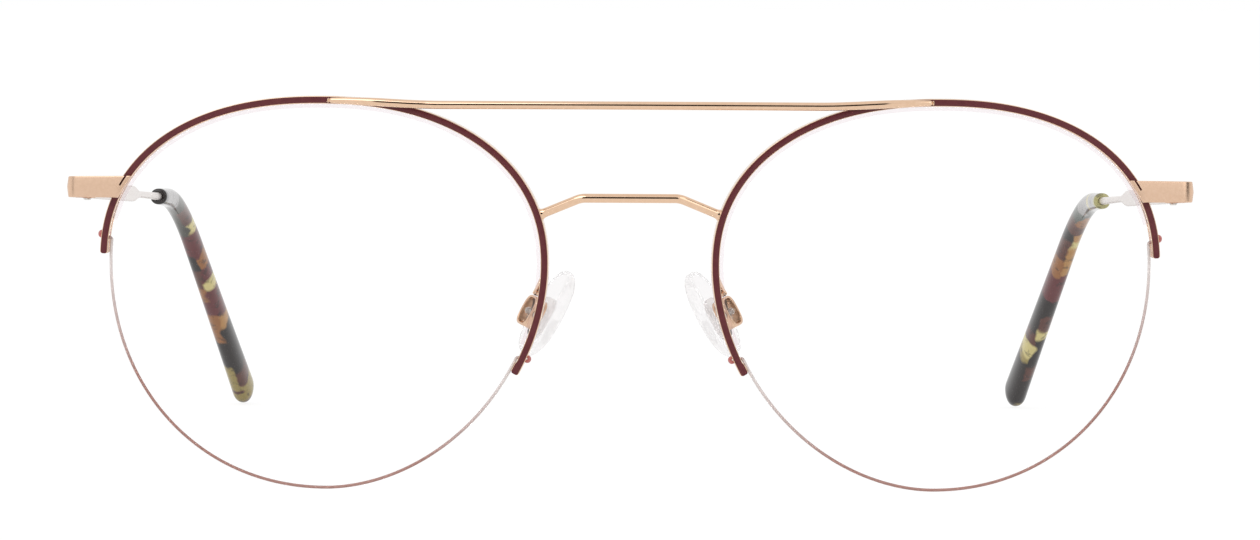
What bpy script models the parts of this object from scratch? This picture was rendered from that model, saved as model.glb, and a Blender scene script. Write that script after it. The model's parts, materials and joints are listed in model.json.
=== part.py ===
"""Half-rim eyeglass frame: two wire half rims that hold grooved lenses with a nylon cord,
a bridge, a brow bar, folding temples with moulded tips, and rocking nose pads.

Everything is modelled in the wearing frame: X to the wearer's left, Y back along the temples,
Z up, with its zero midway between the lens centres on the lens surface. The left half is built
and the right half is its mirror image. Last, the whole frame is tilted so that it stands on its
lenses and temple tips, and its origin is the bottom centre of its bounding box.
"""

import math

import bmesh
import bpy
import numpy as np
from mathutils import Matrix, Vector

MM = 0.001

# General fits
FIT = 0.05 * MM
RUNNING_FIT = 0.08 * MM
OVERRUN = 1.0 * MM

# Lens outline: four superellipse quarters
LENS_HALF_NASAL = 25.6 * MM
LENS_HALF_TEMPORAL = 25.65 * MM
LENS_HALF_UPPER = 18.8 * MM
LENS_HALF_LOWER = 26.85 * MM
POWER_NASAL_UPPER = 2.20
POWER_TEMPORAL_UPPER = 2.27
POWER_TEMPORAL_LOWER = 2.09
POWER_NASAL_LOWER = 1.89
OUTLINE_STEP = math.radians(6)

# Lens body and how the front holds it
LENS_GAP = 21.3 * MM
LENS_BASE_RADIUS = 133 * MM
LENS_THICKNESS = 1.8 * MM
LENS_RING_SHARES = (0.05, 0.55)
GROOVE_WIDTH = 0.5 * MM
GROOVE_DEPTH = 0.5 * MM
WRAP = math.radians(4)
FRONT_TILT = math.radians(4)

# Half rim: a channel section that ends low on the nose and just under the endpiece
RIM_WIDTH = 0.88 * MM
RIM_DEPTH = 2.0 * MM
RIM_EDGE = 0.16 * MM
RIM_CHANNEL_WIDTH = 0.6 * MM
RIM_CHANNEL_DEPTH = 0.3 * MM
RIM_TEMPORAL_END = math.radians(3)
RIM_NASAL_END = math.radians(210)
RIM_END_ROUND = 0.25 * MM
RIM_END_SHARE = 0.72

# Nylon cord: in the lens groove, out and back through two holes near each rim end
CORD_RADIUS = 0.2 * MM
CORD_HOLE_SETBACK = 1.9 * MM
CORD_LOOP_RADIUS = 0.38 * MM
CORD_BEND = 0.3 * MM
CORD_BEND_STEPS = 3
CORD_HOLE_RADIUS = CORD_RADIUS + FIT
CORD_LOOP_STEPS = 6
LINER_SETBACK = 1.0 * MM

# Brow bar: a wire on the fronts of both rims
BAR_RADIUS = 0.49 * MM
BAR_END_SHARE = 0.6
BAR_TAPER = 7.0 * MM
BAR_HALF_LENGTH = 35.6 * MM
BAR_SEAT_ANGLES = (math.radians(81), math.radians(144))
BAR_SEAT = 24.0 * MM
BAR_LEVEL_HALF = 22.0 * MM
BAR_DIP = 0.6 * MM
BAR_ARCH = 0.6 * MM
BAR_DROP = 0.05 * MM
BAR_POINTS = 31

# Bridge
BRIDGE_RADIUS = 0.54 * MM
BRIDGE_HEIGHT = 5.65 * MM
BRIDGE_RISE = 1.95 * MM
BRIDGE_LEVEL_HALF = 5.8 * MM
BRIDGE_ARCH = 1.6 * MM
BRIDGE_BEND = 2.4 * MM
BRIDGE_OVERLAP = 0.6 * MM
BRIDGE_FLARE_SHARE = 1.45
BRIDGE_FLARE_LENGTH = 0.7 * MM

# Endpiece: a strip over the rim that turns back to the hinge
END_LEVEL = 9.1 * MM
END_HEIGHT = 2.6 * MM
END_HEIGHT_LOSS = 0.2 * MM
END_THICKNESS = 0.9 * MM
END_EDGE = 0.14 * MM
END_REACH = 4.65 * MM
END_OVERLAP = 2.2 * MM
END_SLOPE = math.radians(8)
END_CORNER = 1.3 * MM
END_SLOT_MARGIN = 0.38 * MM
END_SLOT_WIDTH = 0.22 * MM
END_SLOT_LENGTH = 1.3 * MM
END_SLOT_INSET = 0.25 * MM

# Hinge: two front knuckles, one temple knuckle and a screw
HINGE_SETBACK = 5.3 * MM
HINGE_BARREL = 1.0 * MM
HINGE_HEIGHT = 2.5 * MM
HINGE_KNUCKLE_SHARE = 0.36
HINGE_LEAF = 0.62 * MM
HINGE_FRONT_LEAF_LENGTH = 3.2 * MM
HINGE_TEMPLE_LEAF_LENGTH = 4.6 * MM
BUTT_GAP = 0.1 * MM
SCREW_RADIUS = 0.45 * MM
SCREW_HEAD_RADIUS = 0.75 * MM
SCREW_HEAD_HEIGHT = 0.3 * MM
SCREW_TAIL = 0.25 * MM
SCREW_TAIL_SHARE = 0.75
SCREW_SLOT = 0.2 * MM

# Temple: flat blade, then a round wire that runs on inside the tip
TEMPLE_BEND_SETBACK = 98.0 * MM
TEMPLE_BEND_INSET = 4.45 * MM
TEMPLE_END_SETBACK = 134.6 * MM
TEMPLE_END_INSET = 11.25 * MM
TEMPLE_DROP = 28.0 * MM
TEMPLE_BEND_RADIUS = 30.0 * MM
BLADE_LENGTH = 52.0 * MM
BLADE_HEIGHT = 2.4 * MM
BLADE_END_HEIGHT = 2.0 * MM
BLADE_THICKNESS = 0.9 * MM
BLADE_POWER = 5
BLADE_RUN_OUT = 2.5 * MM
BLADE_TURN = 1.0 * MM
WIRE_RADIUS = 0.43 * MM
ROUND_POWER = 2
CORE_RADIUS = 0.5 * MM
CORE_END_GAP = 9.0 * MM
CORE_CLEARANCE = 0.4 * MM

# Temple tip
TIP_START = 71.0 * MM
TIP_MOUTH_ROUND = 0.5 * MM
TIP_MOUTH_SHARE = 0.84
TIP_SWELL = 14.0 * MM
TIP_MOUTH_THICKNESS = 2.3 * MM
TIP_MOUTH_HEIGHT = 2.2 * MM
TIP_BEND_THICKNESS = 2.5 * MM
TIP_BEND_HEIGHT = 2.8 * MM
TIP_TAIL_THICKNESS = 3.1 * MM
TIP_TAIL_HEIGHT = 4.8 * MM
TIP_TAIL_ROUND = 2.6 * MM
TIP_GROWTH_POWER = 1.5
TIP_POWER = 2.2

# Nose pad, its insert, box, screw and arm
PAD_BOX_X = 11.6 * MM
PAD_BOX_SETBACK = 7.7 * MM
PAD_BOX_DROP = 5.5 * MM
PAD_FRONTAL = math.radians(28)
PAD_SPLAY = math.radians(28)
PAD_LENGTH = 11.2 * MM
PAD_WIDTH = 6.2 * MM
PAD_THICKNESS = 2.2 * MM
PAD_TAPER_SHARE = 0.16
PAD_POWER = 2.3
PAD_DOME_SHARES = (
    (0.30, 0.0),
    (0.86, 0.0),
    (0.97, 0.16),
    (1.0, 0.42),
    (0.93, 0.72),
    (0.72, 0.92),
    (0.35, 1.0),
)
PAD_SEGMENTS = 32
PAD_CLEARANCE = 0.35 * MM
PAD_RAISE = 0.75 * MM
BOX_LENGTH = 3.8 * MM
BOX_WIDTH = 3.0 * MM
BOX_HEIGHT = 1.7 * MM
BOX_WALL = 0.3 * MM
BOX_EDGE_SHARE = 0.94
BOX_POWER = 3.2
BOX_SEGMENTS = 28
FLANGE_LENGTH = 5.2 * MM
FLANGE_WIDTH = 3.0 * MM
FLANGE_THICKNESS = 0.5 * MM
LUG_LENGTH = 1.8 * MM
LUG_WIDTH = 1.6 * MM
PAD_SCREW_RADIUS = 0.35 * MM
PAD_SCREW_HEAD_RADIUS = 0.6 * MM
PAD_SCREW_HEAD_HEIGHT = 0.3 * MM
ARM_RADIUS = 0.42 * MM
ARM_HIGH = 1.6 * MM
ARM_LOW = 1.4 * MM
ARM_SIDE = 0.35 * MM
ARM_BEND = 0.9 * MM
ARM_LEAD = 0.7 * MM
ARM_END_BEND = 0.5 * MM
ARM_BOX_SETBACK_SHARE = 0.2

WIRE_SEGMENTS = 12
TIP_SEGMENTS = 16
ROUND_SEGMENTS = 20

# Colours: sRGB hex, metallic, roughness, transmission
MATERIALS = {
    "burgundy_enamel": ("6A2F36", 0.3, 0.35, 0.0),
    "rose_gold": ("DDBBA1", 1.0, 0.25, 0.0),
    "pale_metal": ("E0D8D3", 1.0, 0.3, 0.0),
    "screw_steel": ("C9C4BE", 1.0, 0.35, 0.0),
    "tortoise_acetate": ("5F4A3E", 0.0, 0.25, 0.0),
    "demo_lens": ("FAFCFC", 0.0, 0.05, 0.9),
    "nylon_cord": ("CFA79F", 0.0, 0.4, 0.2),
    "nylon_liner": ("E9DCDA", 0.0, 0.5, 0.3),
    "clear_silicone": ("F0F0F0", 0.0, 0.2, 0.7),
    "insert_plastic": ("E4E0DC", 0.0, 0.3, 0.4),
}

LENS_CENTRE = LENS_GAP / 2 + LENS_HALF_NASAL
RIM_OUTER = FIT + RIM_WIDTH
END_OUTER = LENS_CENTRE + LENS_HALF_TEMPORAL + END_REACH


def linear(channel):
    """One sRGB channel, 0 to 1, as linear light."""
    return channel / 12.92 if channel <= 0.04045 else ((channel + 0.055) / 1.055) ** 2.4


def make_material(name):
    colour, metallic, roughness, transmission = MATERIALS[name]
    material = bpy.data.materials.new(name)
    material.use_nodes = True
    shader = material.node_tree.nodes["Principled BSDF"]
    rgb = [linear(int(colour[i : i + 2], 16) / 255) for i in (0, 2, 4)]
    shader.inputs["Base Color"].default_value = (*rgb, 1)
    shader.inputs["Metallic"].default_value = metallic
    shader.inputs["Roughness"].default_value = roughness
    shader.inputs["Transmission Weight"].default_value = transmission
    return material


# Mesh helpers


def add_object(name, mesh):
    obj = bpy.data.objects.new(name, mesh)
    bpy.context.scene.collection.objects.link(obj)
    return obj


def finish_mesh(bm, name):
    """Welds loose caps, turns the faces outward and returns the mesh as an object."""
    bmesh.ops.remove_doubles(bm, verts=bm.verts, dist=FIT / 50)
    bmesh.ops.recalc_face_normals(bm, faces=bm.faces)
    mesh = bpy.data.meshes.new(name)
    bm.to_mesh(mesh)
    bm.free()
    mesh.shade_smooth()
    mesh.set_sharp_from_angle(angle=math.radians(32))
    return add_object(name, mesh)


def loft(name, sections):
    """Closed solid through a row of sections, each a ring of the same number of points."""
    bm = bmesh.new()
    rings = [[bm.verts.new(point) for point in section] for section in sections]
    count = len(rings[0])
    for ring, following in zip(rings, rings[1:]):
        for i in range(count):
            j = (i + 1) % count
            bm.faces.new((ring[i], ring[j], following[j], following[i]))
    bm.faces.new(rings[0])
    bm.faces.new(rings[-1])
    return finish_mesh(bm, name)


def wire(name, points, radius, radius_shares=None, resolution=2):
    """Round wire through the points, as a bevelled curve made into a mesh."""
    curve = bpy.data.curves.new(name, "CURVE")
    curve.dimensions = "3D"
    curve.twist_mode = "MINIMUM"
    curve.bevel_depth = radius
    curve.bevel_resolution = resolution
    curve.use_fill_caps = True
    spline = curve.splines.new("POLY")
    spline.points.add(len(points) - 1)
    if radius_shares is None:
        radius_shares = [1] * len(points)
    for target, point, share in zip(spline.points, points, radius_shares):
        target.co = (*point, 1)
        target.radius = share
    source = add_object(name, curve)
    bm = bmesh.new()
    graph = bpy.context.evaluated_depsgraph_get()
    bm.from_mesh(bpy.data.meshes.new_from_object(source.evaluated_get(graph)))
    bpy.data.objects.remove(source)
    return finish_mesh(bm, name)


def turned(name, profile):
    """Solid of revolution about Z from a profile of (radius, height), top to bottom."""
    mesh = bpy.data.meshes.new(name)
    mesh.from_pydata([(r, 0, z) for r, z in profile], [(i, i + 1) for i in range(len(profile) - 1)], [])
    source = add_object(name, mesh)
    screw = source.modifiers.new("turn", "SCREW")
    screw.steps = screw.render_steps = ROUND_SEGMENTS
    screw.use_merge_vertices = True
    screw.merge_threshold = FIT / 50
    return baked(source)


def cylinder(name, radius, bottom, top, segments=ROUND_SEGMENTS):
    bm = bmesh.new()
    bmesh.ops.create_cone(
        bm, cap_ends=True, segments=segments, radius1=radius, radius2=radius, depth=top - bottom
    )
    bmesh.ops.translate(bm, verts=bm.verts, vec=(0, 0, (top + bottom) / 2))
    return finish_mesh(bm, name)


def box(name, low, high):
    """Box between two corners."""
    low, high = Vector(low), Vector(high)
    bm = bmesh.new()
    bmesh.ops.create_cube(bm, size=1)
    bmesh.ops.scale(bm, verts=bm.verts, vec=high - low)
    bmesh.ops.translate(bm, verts=bm.verts, vec=(high + low) / 2)
    return finish_mesh(bm, name)


def baked(obj):
    """The object with its modifiers applied and outward faces."""
    graph = bpy.context.evaluated_depsgraph_get()
    bm = bmesh.new()
    bm.from_mesh(bpy.data.meshes.new_from_object(obj.evaluated_get(graph)))
    name = obj.name
    bpy.data.objects.remove(obj)
    return finish_mesh(bm, name)


def combine(obj, others, operation):
    """Adds the other solids to this one, or cuts them out of it."""
    for other in others:
        modifier = obj.modifiers.new(other.name, "BOOLEAN")
        modifier.operation = operation
        modifier.solver = "EXACT"
        modifier.object = other
    result = baked(obj)
    for other in others:
        bpy.data.objects.remove(other)
    return result


def moved(obj, matrix):
    """Moves the mesh itself, so that the object's origin stays where it is."""
    obj.data.transform(matrix)
    return obj


# Paths and sections


def rounded_path(corners, radii, steps=6):
    """The corner points joined by straight lines, each inner corner rounded to an arc."""
    corners = [np.array(corner, float) for corner in corners]
    points = [corners[0]]
    for before, corner, after, radius in zip(corners, corners[1:], corners[2:], radii):
        to_before = (before - corner) / np.linalg.norm(before - corner)
        to_after = (after - corner) / np.linalg.norm(after - corner)
        half = math.acos(np.clip(to_before @ to_after, -1, 1)) / 2
        middle = (to_before + to_after) / np.linalg.norm(to_before + to_after)
        centre = corner + middle * radius / math.sin(half)
        start = corner + to_before * radius / math.tan(half) - centre
        sweep = math.pi - 2 * half
        across = corner + to_after * radius / math.tan(half) - centre
        across = (across - start * math.cos(sweep)) / math.sin(sweep)
        for i in range(steps + 1):
            angle = sweep * i / steps
            points.append(centre + start * math.cos(angle) + across * math.sin(angle))
    points.append(corners[-1])
    return np.array(points)


def path_at(path, distances):
    """Points and directions on a path at these distances from its start."""
    steps = np.linalg.norm(np.diff(path, axis=0), axis=1)
    along = np.concatenate([[0], np.cumsum(steps)])
    points = np.stack([np.interp(distances, along, path[:, i]) for i in range(3)], axis=1)
    directions = np.gradient(path, along, axis=0)
    directions = np.stack([np.interp(distances, along, directions[:, i]) for i in range(3)], axis=1)
    return points, directions / np.linalg.norm(directions, axis=1)[:, None]


def path_length(path):
    return np.linalg.norm(np.diff(path, axis=0), axis=1).sum()


def superellipse(half_a, half_b, power, segments):
    """Ring of points, the first coordinate to half_a and the second to half_b."""
    angles = np.linspace(0, 2 * math.pi, segments, endpoint=False)
    cos, sin = np.cos(angles), np.sin(angles)
    return np.stack(
        [
            half_a * np.sign(cos) * np.abs(cos) ** (2 / power),
            half_b * np.sign(sin) * np.abs(sin) ** (2 / power),
        ],
        axis=1,
    )


def sections_on(path, distances, half_widths, half_heights, powers, segments):
    """Superellipse sections square to a path: widths to its side, heights upward."""
    points, directions = path_at(path, distances)
    sections = []
    for point, direction, width, height, power in zip(
        points, directions, half_widths, half_heights, powers
    ):
        side = np.cross(direction, (0, 0, 1))
        side /= np.linalg.norm(side)
        up = np.cross(side, direction)
        ring = superellipse(width, height, power, segments)
        sections.append(point + ring[:, :1] * side + ring[:, 1:] * up)
    return sections


# The lens plane


def lens_outline(angles, offset=0.0):
    """Lens edge, x to the temple and z up, moved out by an offset; angle 0 is at the temple."""
    cos, sin = np.cos(angles), np.sin(angles)
    half_x = np.where(cos > 0, LENS_HALF_TEMPORAL, LENS_HALF_NASAL)
    half_z = np.where(sin > 0, LENS_HALF_UPPER, LENS_HALF_LOWER)
    upper = np.where(cos > 0, POWER_TEMPORAL_UPPER, POWER_NASAL_UPPER)
    lower = np.where(cos > 0, POWER_TEMPORAL_LOWER, POWER_NASAL_LOWER)
    power = np.where(sin > 0, upper, lower)
    radius = (np.abs(cos / half_x) ** power + np.abs(sin / half_z) ** power) ** (-1 / power)
    x, z = radius * cos, radius * sin
    normal_x = np.sign(x) * np.abs(x / half_x) ** (power - 1) / half_x
    normal_z = np.sign(z) * np.abs(z / half_z) ** (power - 1) / half_z
    length = np.hypot(normal_x, normal_z)
    return x + offset * normal_x / length, z + offset * normal_z / length


def lens_sag(x, z):
    """How far the lens's front surface lies behind its middle."""
    return LENS_BASE_RADIUS - np.sqrt(LENS_BASE_RADIUS**2 - x**2 - z**2)


def edge_points(angles, offset, depth):
    """Points along the lens edge: offset outward, and depth back from its mid thickness."""
    angles = np.atleast_1d(np.asarray(angles, float))
    edge_x, edge_z = lens_outline(angles)
    x, z = lens_outline(angles, offset)
    y = lens_sag(edge_x, edge_z) + LENS_THICKNESS / 2 + depth
    return np.stack([x, y, z], axis=1)


def along_edge(angle, distance):
    """The outline angle reached by going this distance along the edge."""
    x, z = lens_outline(np.array([angle]))
    return angle + distance / float(np.hypot(x, z)[0])


def edge_angles(start, stop):
    """The outline's own steps between two angles, with both of them."""
    first = math.floor(start / OUTLINE_STEP) + 1
    last = math.ceil(stop / OUTLINE_STEP) - 1
    return np.array([start, *(OUTLINE_STEP * i for i in range(first, last + 1)), stop])


LENS_PLACE = (
    Matrix.Translation((LENS_CENTRE, 0, 0))
    @ Matrix.Translation((0, 0, END_LEVEL))
    @ Matrix.Rotation(FRONT_TILT, 4, "X")
    @ Matrix.Translation((0, 0, -END_LEVEL))
    @ Matrix.Rotation(WRAP, 4, "Z")
)


def in_wearing_frame(points):
    """Points of the left lens plane, in the wearing frame."""
    return np.array([LENS_PLACE @ Vector(point) for point in points])


def angle_at_height(height, nasal):
    """Outline angle where the edge has this height, on the nasal or the temporal side."""
    low, high = (0.5 * math.pi, 1.5 * math.pi) if nasal else (-0.5 * math.pi, 0.5 * math.pi)
    angles = np.linspace(low, high, 2001)
    z = lens_outline(angles)[1]
    order = np.argsort(z)
    return float(np.interp(height, z[order], angles[order]))


# Front


def make_lens():
    """Curved lens with a groove round its whole edge."""
    angles = np.arange(0, 2 * math.pi - OUTLINE_STEP / 2, OUTLINE_STEP)
    edge_x, edge_z = lens_outline(angles)
    half, groove = LENS_THICKNESS / 2, GROOVE_WIDTH / 2

    def surface_ring(share, back):
        x, z = share * edge_x, share * edge_z
        return np.stack([x, lens_sag(x, z) + back, z], axis=1)

    sections = [surface_ring(share, 0) for share in LENS_RING_SHARES]
    edge_profile = (
        (0, -half),
        (0, -groove),
        (-GROOVE_DEPTH, -groove),
        (-GROOVE_DEPTH, groove),
        (0, groove),
        (0, half),
    )
    sections += [edge_points(angles, offset, depth) for offset, depth in edge_profile]
    sections += [surface_ring(share, LENS_THICKNESS) for share in reversed(LENS_RING_SHARES)]
    return loft("lens", sections)


def rim_section(share):
    """Channel section as (offset, depth) points, drawn in to a share of its size."""
    inner, outer, half = FIT, RIM_OUTER, RIM_DEPTH / 2
    floor, slot = FIT + RIM_CHANNEL_DEPTH, RIM_CHANNEL_WIDTH / 2
    profile = (
        (inner, -slot),
        (inner, -half + RIM_EDGE),
        (inner + RIM_EDGE, -half),
        (outer - RIM_EDGE, -half),
        (outer, -half + RIM_EDGE),
        (outer, half - RIM_EDGE),
        (outer - RIM_EDGE, half),
        (inner + RIM_EDGE, half),
        (inner, half - RIM_EDGE),
        (inner, slot),
        (floor, slot),
        (floor, -slot),
    )
    middle = (inner + outer) / 2
    return [(middle + (offset - middle) * share, depth * share) for offset, depth in profile]


def rim_holes():
    """Where the cord passes the rim: outline angles, the outer hole of each end first."""
    places = []
    for end, inward in ((RIM_TEMPORAL_END, 1), (RIM_NASAL_END, -1)):
        outer = along_edge(end, inward * CORD_HOLE_SETBACK)
        inner = along_edge(end, inward * (CORD_HOLE_SETBACK + 2 * CORD_LOOP_RADIUS))
        places.append((outer, inner, inward))
    return places


def make_rim():
    """Channel swept along the lens edge, with rounded ends and the cord's holes."""
    start = along_edge(RIM_TEMPORAL_END, RIM_END_ROUND)
    stop = along_edge(RIM_NASAL_END, -RIM_END_ROUND)
    angles = [RIM_TEMPORAL_END, *edge_angles(start, stop), RIM_NASAL_END]
    sections = []
    for i, angle in enumerate(angles):
        profile = rim_section(RIM_END_SHARE if i in (0, len(angles) - 1) else 1)
        sections.append([edge_points(angle, offset, depth)[0] for offset, depth in profile])
    rim = loft("rim", sections)
    holes = []
    for outer, inner, _ in rim_holes():
        for angle in (outer, inner):
            hole = cylinder("cord_hole", CORD_HOLE_RADIUS, 0, RIM_OUTER + OVERRUN, WIRE_SEGMENTS)
            base = Vector(edge_points(angle, 0, 0)[0])
            direction = Vector(edge_points(angle, RIM_OUTER, 0)[0]) - base
            turn = direction.to_track_quat("Z", "Y").to_matrix().to_4x4()
            holes.append(moved(hole, Matrix.Translation(base) @ turn))
    return combine(rim, holes, "DIFFERENCE")


def make_liner():
    """Nylon strip between the rim's channel and the lens groove."""
    setback = CORD_HOLE_SETBACK + 2 * CORD_LOOP_RADIUS + LINER_SETBACK
    angles = edge_angles(
        along_edge(RIM_TEMPORAL_END, setback), along_edge(RIM_NASAL_END, -setback)
    )
    low, high = FIT - GROOVE_DEPTH, RIM_CHANNEL_DEPTH
    half = GROOVE_WIDTH / 2 - FIT
    profile = ((low, -half), (high, -half), (high, half), (low, half))
    corners = [edge_points(angles, offset, depth) for offset, depth in profile]
    return loft("rim_liner", np.stack(corners, axis=1))


def cord_end(outer, inner, inward):
    """Cord points from the groove out through one hole, over the rim and in by the other."""
    groove = -FIT - CORD_RADIUS
    points = []
    for turn in np.linspace(0, math.pi / 2, CORD_BEND_STEPS + 1):
        back = CORD_BEND * (1 - math.sin(turn))
        rise = CORD_BEND * (1 - math.cos(turn))
        points.append((along_edge(outer, -inward * back), groove + rise))
    loop_base = RIM_OUTER + FIT
    for turn in np.linspace(0, math.pi, CORD_LOOP_STEPS + 1):
        ahead = CORD_LOOP_RADIUS * (1 - math.cos(turn))
        rise = CORD_LOOP_RADIUS * math.sin(turn)
        points.append((along_edge(outer, inward * ahead), loop_base + rise))
    points.append((inner, 0))
    return [edge_points(angle, offset, 0)[0] for angle, offset in points]


def make_cord():
    """Nylon cord round the lower lens edge, laced through both rim ends."""
    temporal, nasal = rim_holes()
    groove = -FIT - CORD_RADIUS
    start = along_edge(nasal[0], CORD_BEND) + OUTLINE_STEP / 4
    stop = 2 * math.pi + along_edge(temporal[0], -CORD_BEND) - OUTLINE_STEP / 4
    middle = edge_points(edge_angles(start, stop), groove, 0)
    points = [*reversed(cord_end(*nasal)), *middle, *cord_end(*temporal)]
    return wire("cord", points, CORD_RADIUS, resolution=1)


def rim_front_line():
    """The rim's upper front edge in the wearing frame, from the nose side to the middle."""
    angles = np.linspace(*BAR_SEAT_ANGLES, 60)
    return in_wearing_frame(edge_points(angles, FIT + RIM_WIDTH / 2, -RIM_DEPTH / 2))


def make_brow_bar():
    """Wire across both rims, seated on their fronts and tapered to its ends."""
    line = rim_front_line()
    line = line[np.argsort(line[:, 0])]
    x = np.linspace(-BAR_HALF_LENGTH, BAR_HALF_LENGTH, BAR_POINTS)
    reach = np.abs(x)
    taper = np.clip((BAR_HALF_LENGTH - reach) / BAR_TAPER, 0, 1)
    shares = BAR_END_SHARE + (1 - BAR_END_SHARE) * np.sin(taper * math.pi / 2)
    seat = np.interp(np.maximum(reach, BAR_SEAT), line[:, 0], line[:, 1])
    y = seat - FIT - BAR_RADIUS * shares
    y -= BAR_ARCH * (1 - (np.minimum(reach, BAR_SEAT) / BAR_SEAT) ** 2)
    end_z = float(np.interp(BAR_HALF_LENGTH, line[:, 0], line[:, 2])) - BAR_DROP
    fall = np.clip((BAR_HALF_LENGTH - reach) / (BAR_HALF_LENGTH - BAR_LEVEL_HALF), 0, 1)
    z = end_z - BAR_DIP * fall * fall * (3 - 2 * fall)
    return wire("brow_bar", np.stack([x, y, z], axis=1), BAR_RADIUS, shares)


def make_bridge():
    """Wire bridge between the rims' nasal sides, flared and cut to fit their outer faces."""
    angle = angle_at_height(BRIDGE_HEIGHT, nasal=True)
    end = in_wearing_frame(edge_points(angle, RIM_OUTER - BRIDGE_OVERLAP, 0))[0]
    level = np.array([BRIDGE_LEVEL_HALF, end[1] - BRIDGE_ARCH, end[2] + BRIDGE_RISE])
    mirror = np.array([-1, 1, 1])
    corners = [end * mirror, level * mirror, level, end]
    path = rounded_path(corners, [BRIDGE_BEND, BRIDGE_BEND], steps=4)
    length = path_length(path)
    flare = BRIDGE_OVERLAP + BRIDGE_FLARE_LENGTH * np.array([0, 0.5, 1])
    level_start = flare[-1] + BRIDGE_FLARE_LENGTH
    inner = np.linspace(level_start, length - level_start, 19)
    distances = np.array([0, *flare, *inner, *(length - flare[::-1]), length])
    edge = np.maximum(np.minimum(distances, length - distances) - BRIDGE_OVERLAP, 0)
    shares = 1 + (BRIDGE_FLARE_SHARE - 1) * np.clip(1 - edge / BRIDGE_FLARE_LENGTH, 0, 1) ** 2
    bridge = wire("bridge", path_at(path, distances)[0], BRIDGE_RADIUS, shares)
    left = outline_prism(RIM_OUTER + FIT)
    right = add_object("outline_prism", mirrored_mesh(left.data))
    return combine(bridge, [left, right], "DIFFERENCE")


# Endpiece and hinge


def end_seat():
    """Where the endpiece lies on the rim: x and y of the rim's front at the endpiece's level."""
    heights = END_LEVEL + END_HEIGHT * np.array([-0.5, 0, 0.5])
    angles = [angle_at_height(height, nasal=False) for height in heights]
    front = in_wearing_frame(edge_points(angles, FIT + RIM_WIDTH / 2, -RIM_DEPTH / 2))
    return front[1, 0], front[:, 1].min()


def end_line():
    """x and y of the endpiece's inner end and of the corner where it turns back."""
    seat_x, seat_y = end_seat()
    slope = math.tan(END_SLOPE)
    inner_x = seat_x - END_OVERLAP
    inner_y = seat_y - FIT - END_THICKNESS / 2 - END_OVERLAP * slope
    corner_x = END_OUTER - END_THICKNESS / 2
    return (inner_x, inner_y), (corner_x, inner_y + (corner_x - inner_x) * slope)


def hinge_axis():
    """x and y of the hinge screw's axis."""
    return END_OUTER - END_THICKNESS - FIT - HINGE_BARREL, end_line()[1][1] + HINGE_SETBACK


def make_endpiece():
    """Strip over the rim's front that turns back to the hinge, cut along the lens edge."""
    inner, corner = end_line()
    butt_y = hinge_axis()[1] - BUTT_GAP / 2
    corners = [(*inner, END_LEVEL), (*corner, END_LEVEL), (corner[0], butt_y, END_LEVEL)]
    path = rounded_path(corners, [END_CORNER], steps=5)
    steps = np.linalg.norm(np.diff(path, axis=0), axis=1)
    distances = np.concatenate([[0], np.cumsum(steps)])
    points, directions = path_at(path, distances)
    half_height = (END_HEIGHT - END_HEIGHT_LOSS * distances / distances[-1]) / 2
    half = END_THICKNESS / 2
    sections = []
    for point, direction, height in zip(points, directions, half_height):
        side = np.cross(direction, (0, 0, 1))
        ring = (
            (half, -height + END_EDGE),
            (half, height - END_EDGE),
            (half - END_EDGE, height),
            (-half, height),
            (-half, -height),
            (half - END_EDGE, -height),
        )
        sections.append([point + a * side + b * np.array((0, 0, 1)) for a, b in ring])
    endpiece = loft("endpiece", sections)
    return combine(endpiece, [outline_prism(FIT), end_slot_cutter()], "DIFFERENCE")


def outline_prism(offset):
    """Prism of the lens outline moved out by an offset: it cuts what must stop there."""
    angles = np.arange(0, 2 * math.pi - OUTLINE_STEP / 2, OUTLINE_STEP)
    reach = LENS_THICKNESS + RIM_DEPTH + END_THICKNESS
    rings = [edge_points(angles, offset, depth) for depth in (-reach, reach)]
    return moved(loft("outline_prism", rings), LENS_PLACE)


def end_slot_cutter():
    """Narrow slot through the endpiece, along its lens edge, from just under its top edge."""
    top = angle_at_height(END_LEVEL + END_HEIGHT / 2 - END_SLOT_INSET, nasal=False)
    bottom = along_edge(top, -END_SLOT_LENGTH)
    angles = np.linspace(bottom, top, 5)
    inner = FIT + END_SLOT_MARGIN
    outer = inner + END_SLOT_WIDTH
    floor = -RIM_DEPTH / 2 + OVERRUN
    front = -RIM_DEPTH / 2 - FIT - END_THICKNESS - OVERRUN
    profile = ((inner, front), (outer, front), (outer, floor), (inner, floor))
    corners = [edge_points(angles, offset, depth) for offset, depth in profile]
    return moved(loft("slot_cutter", np.stack(corners, axis=1)), LENS_PLACE)


def knuckle_levels():
    """Heights of the four planes that part the three knuckles."""
    half = HINGE_HEIGHT / 2
    side = HINGE_HEIGHT * HINGE_KNUCKLE_SHARE
    return END_LEVEL - half, END_LEVEL - half + side, END_LEVEL + half - side, END_LEVEL + half


def barrel(name, radius, bottom, top):
    x, y = hinge_axis()
    return moved(cylinder(name, radius, bottom, top), Matrix.Translation((x, y, 0)))


def leaf(name, y_low, y_high):
    """Plate of the hinge that lies on the inner side of the endpiece or of the temple."""
    outer = END_OUTER - END_THICKNESS - FIT
    low, high = knuckle_levels()[0], knuckle_levels()[3]
    return box(name, (outer - HINGE_LEAF, y_low, low), (outer, y_high, high))


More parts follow.
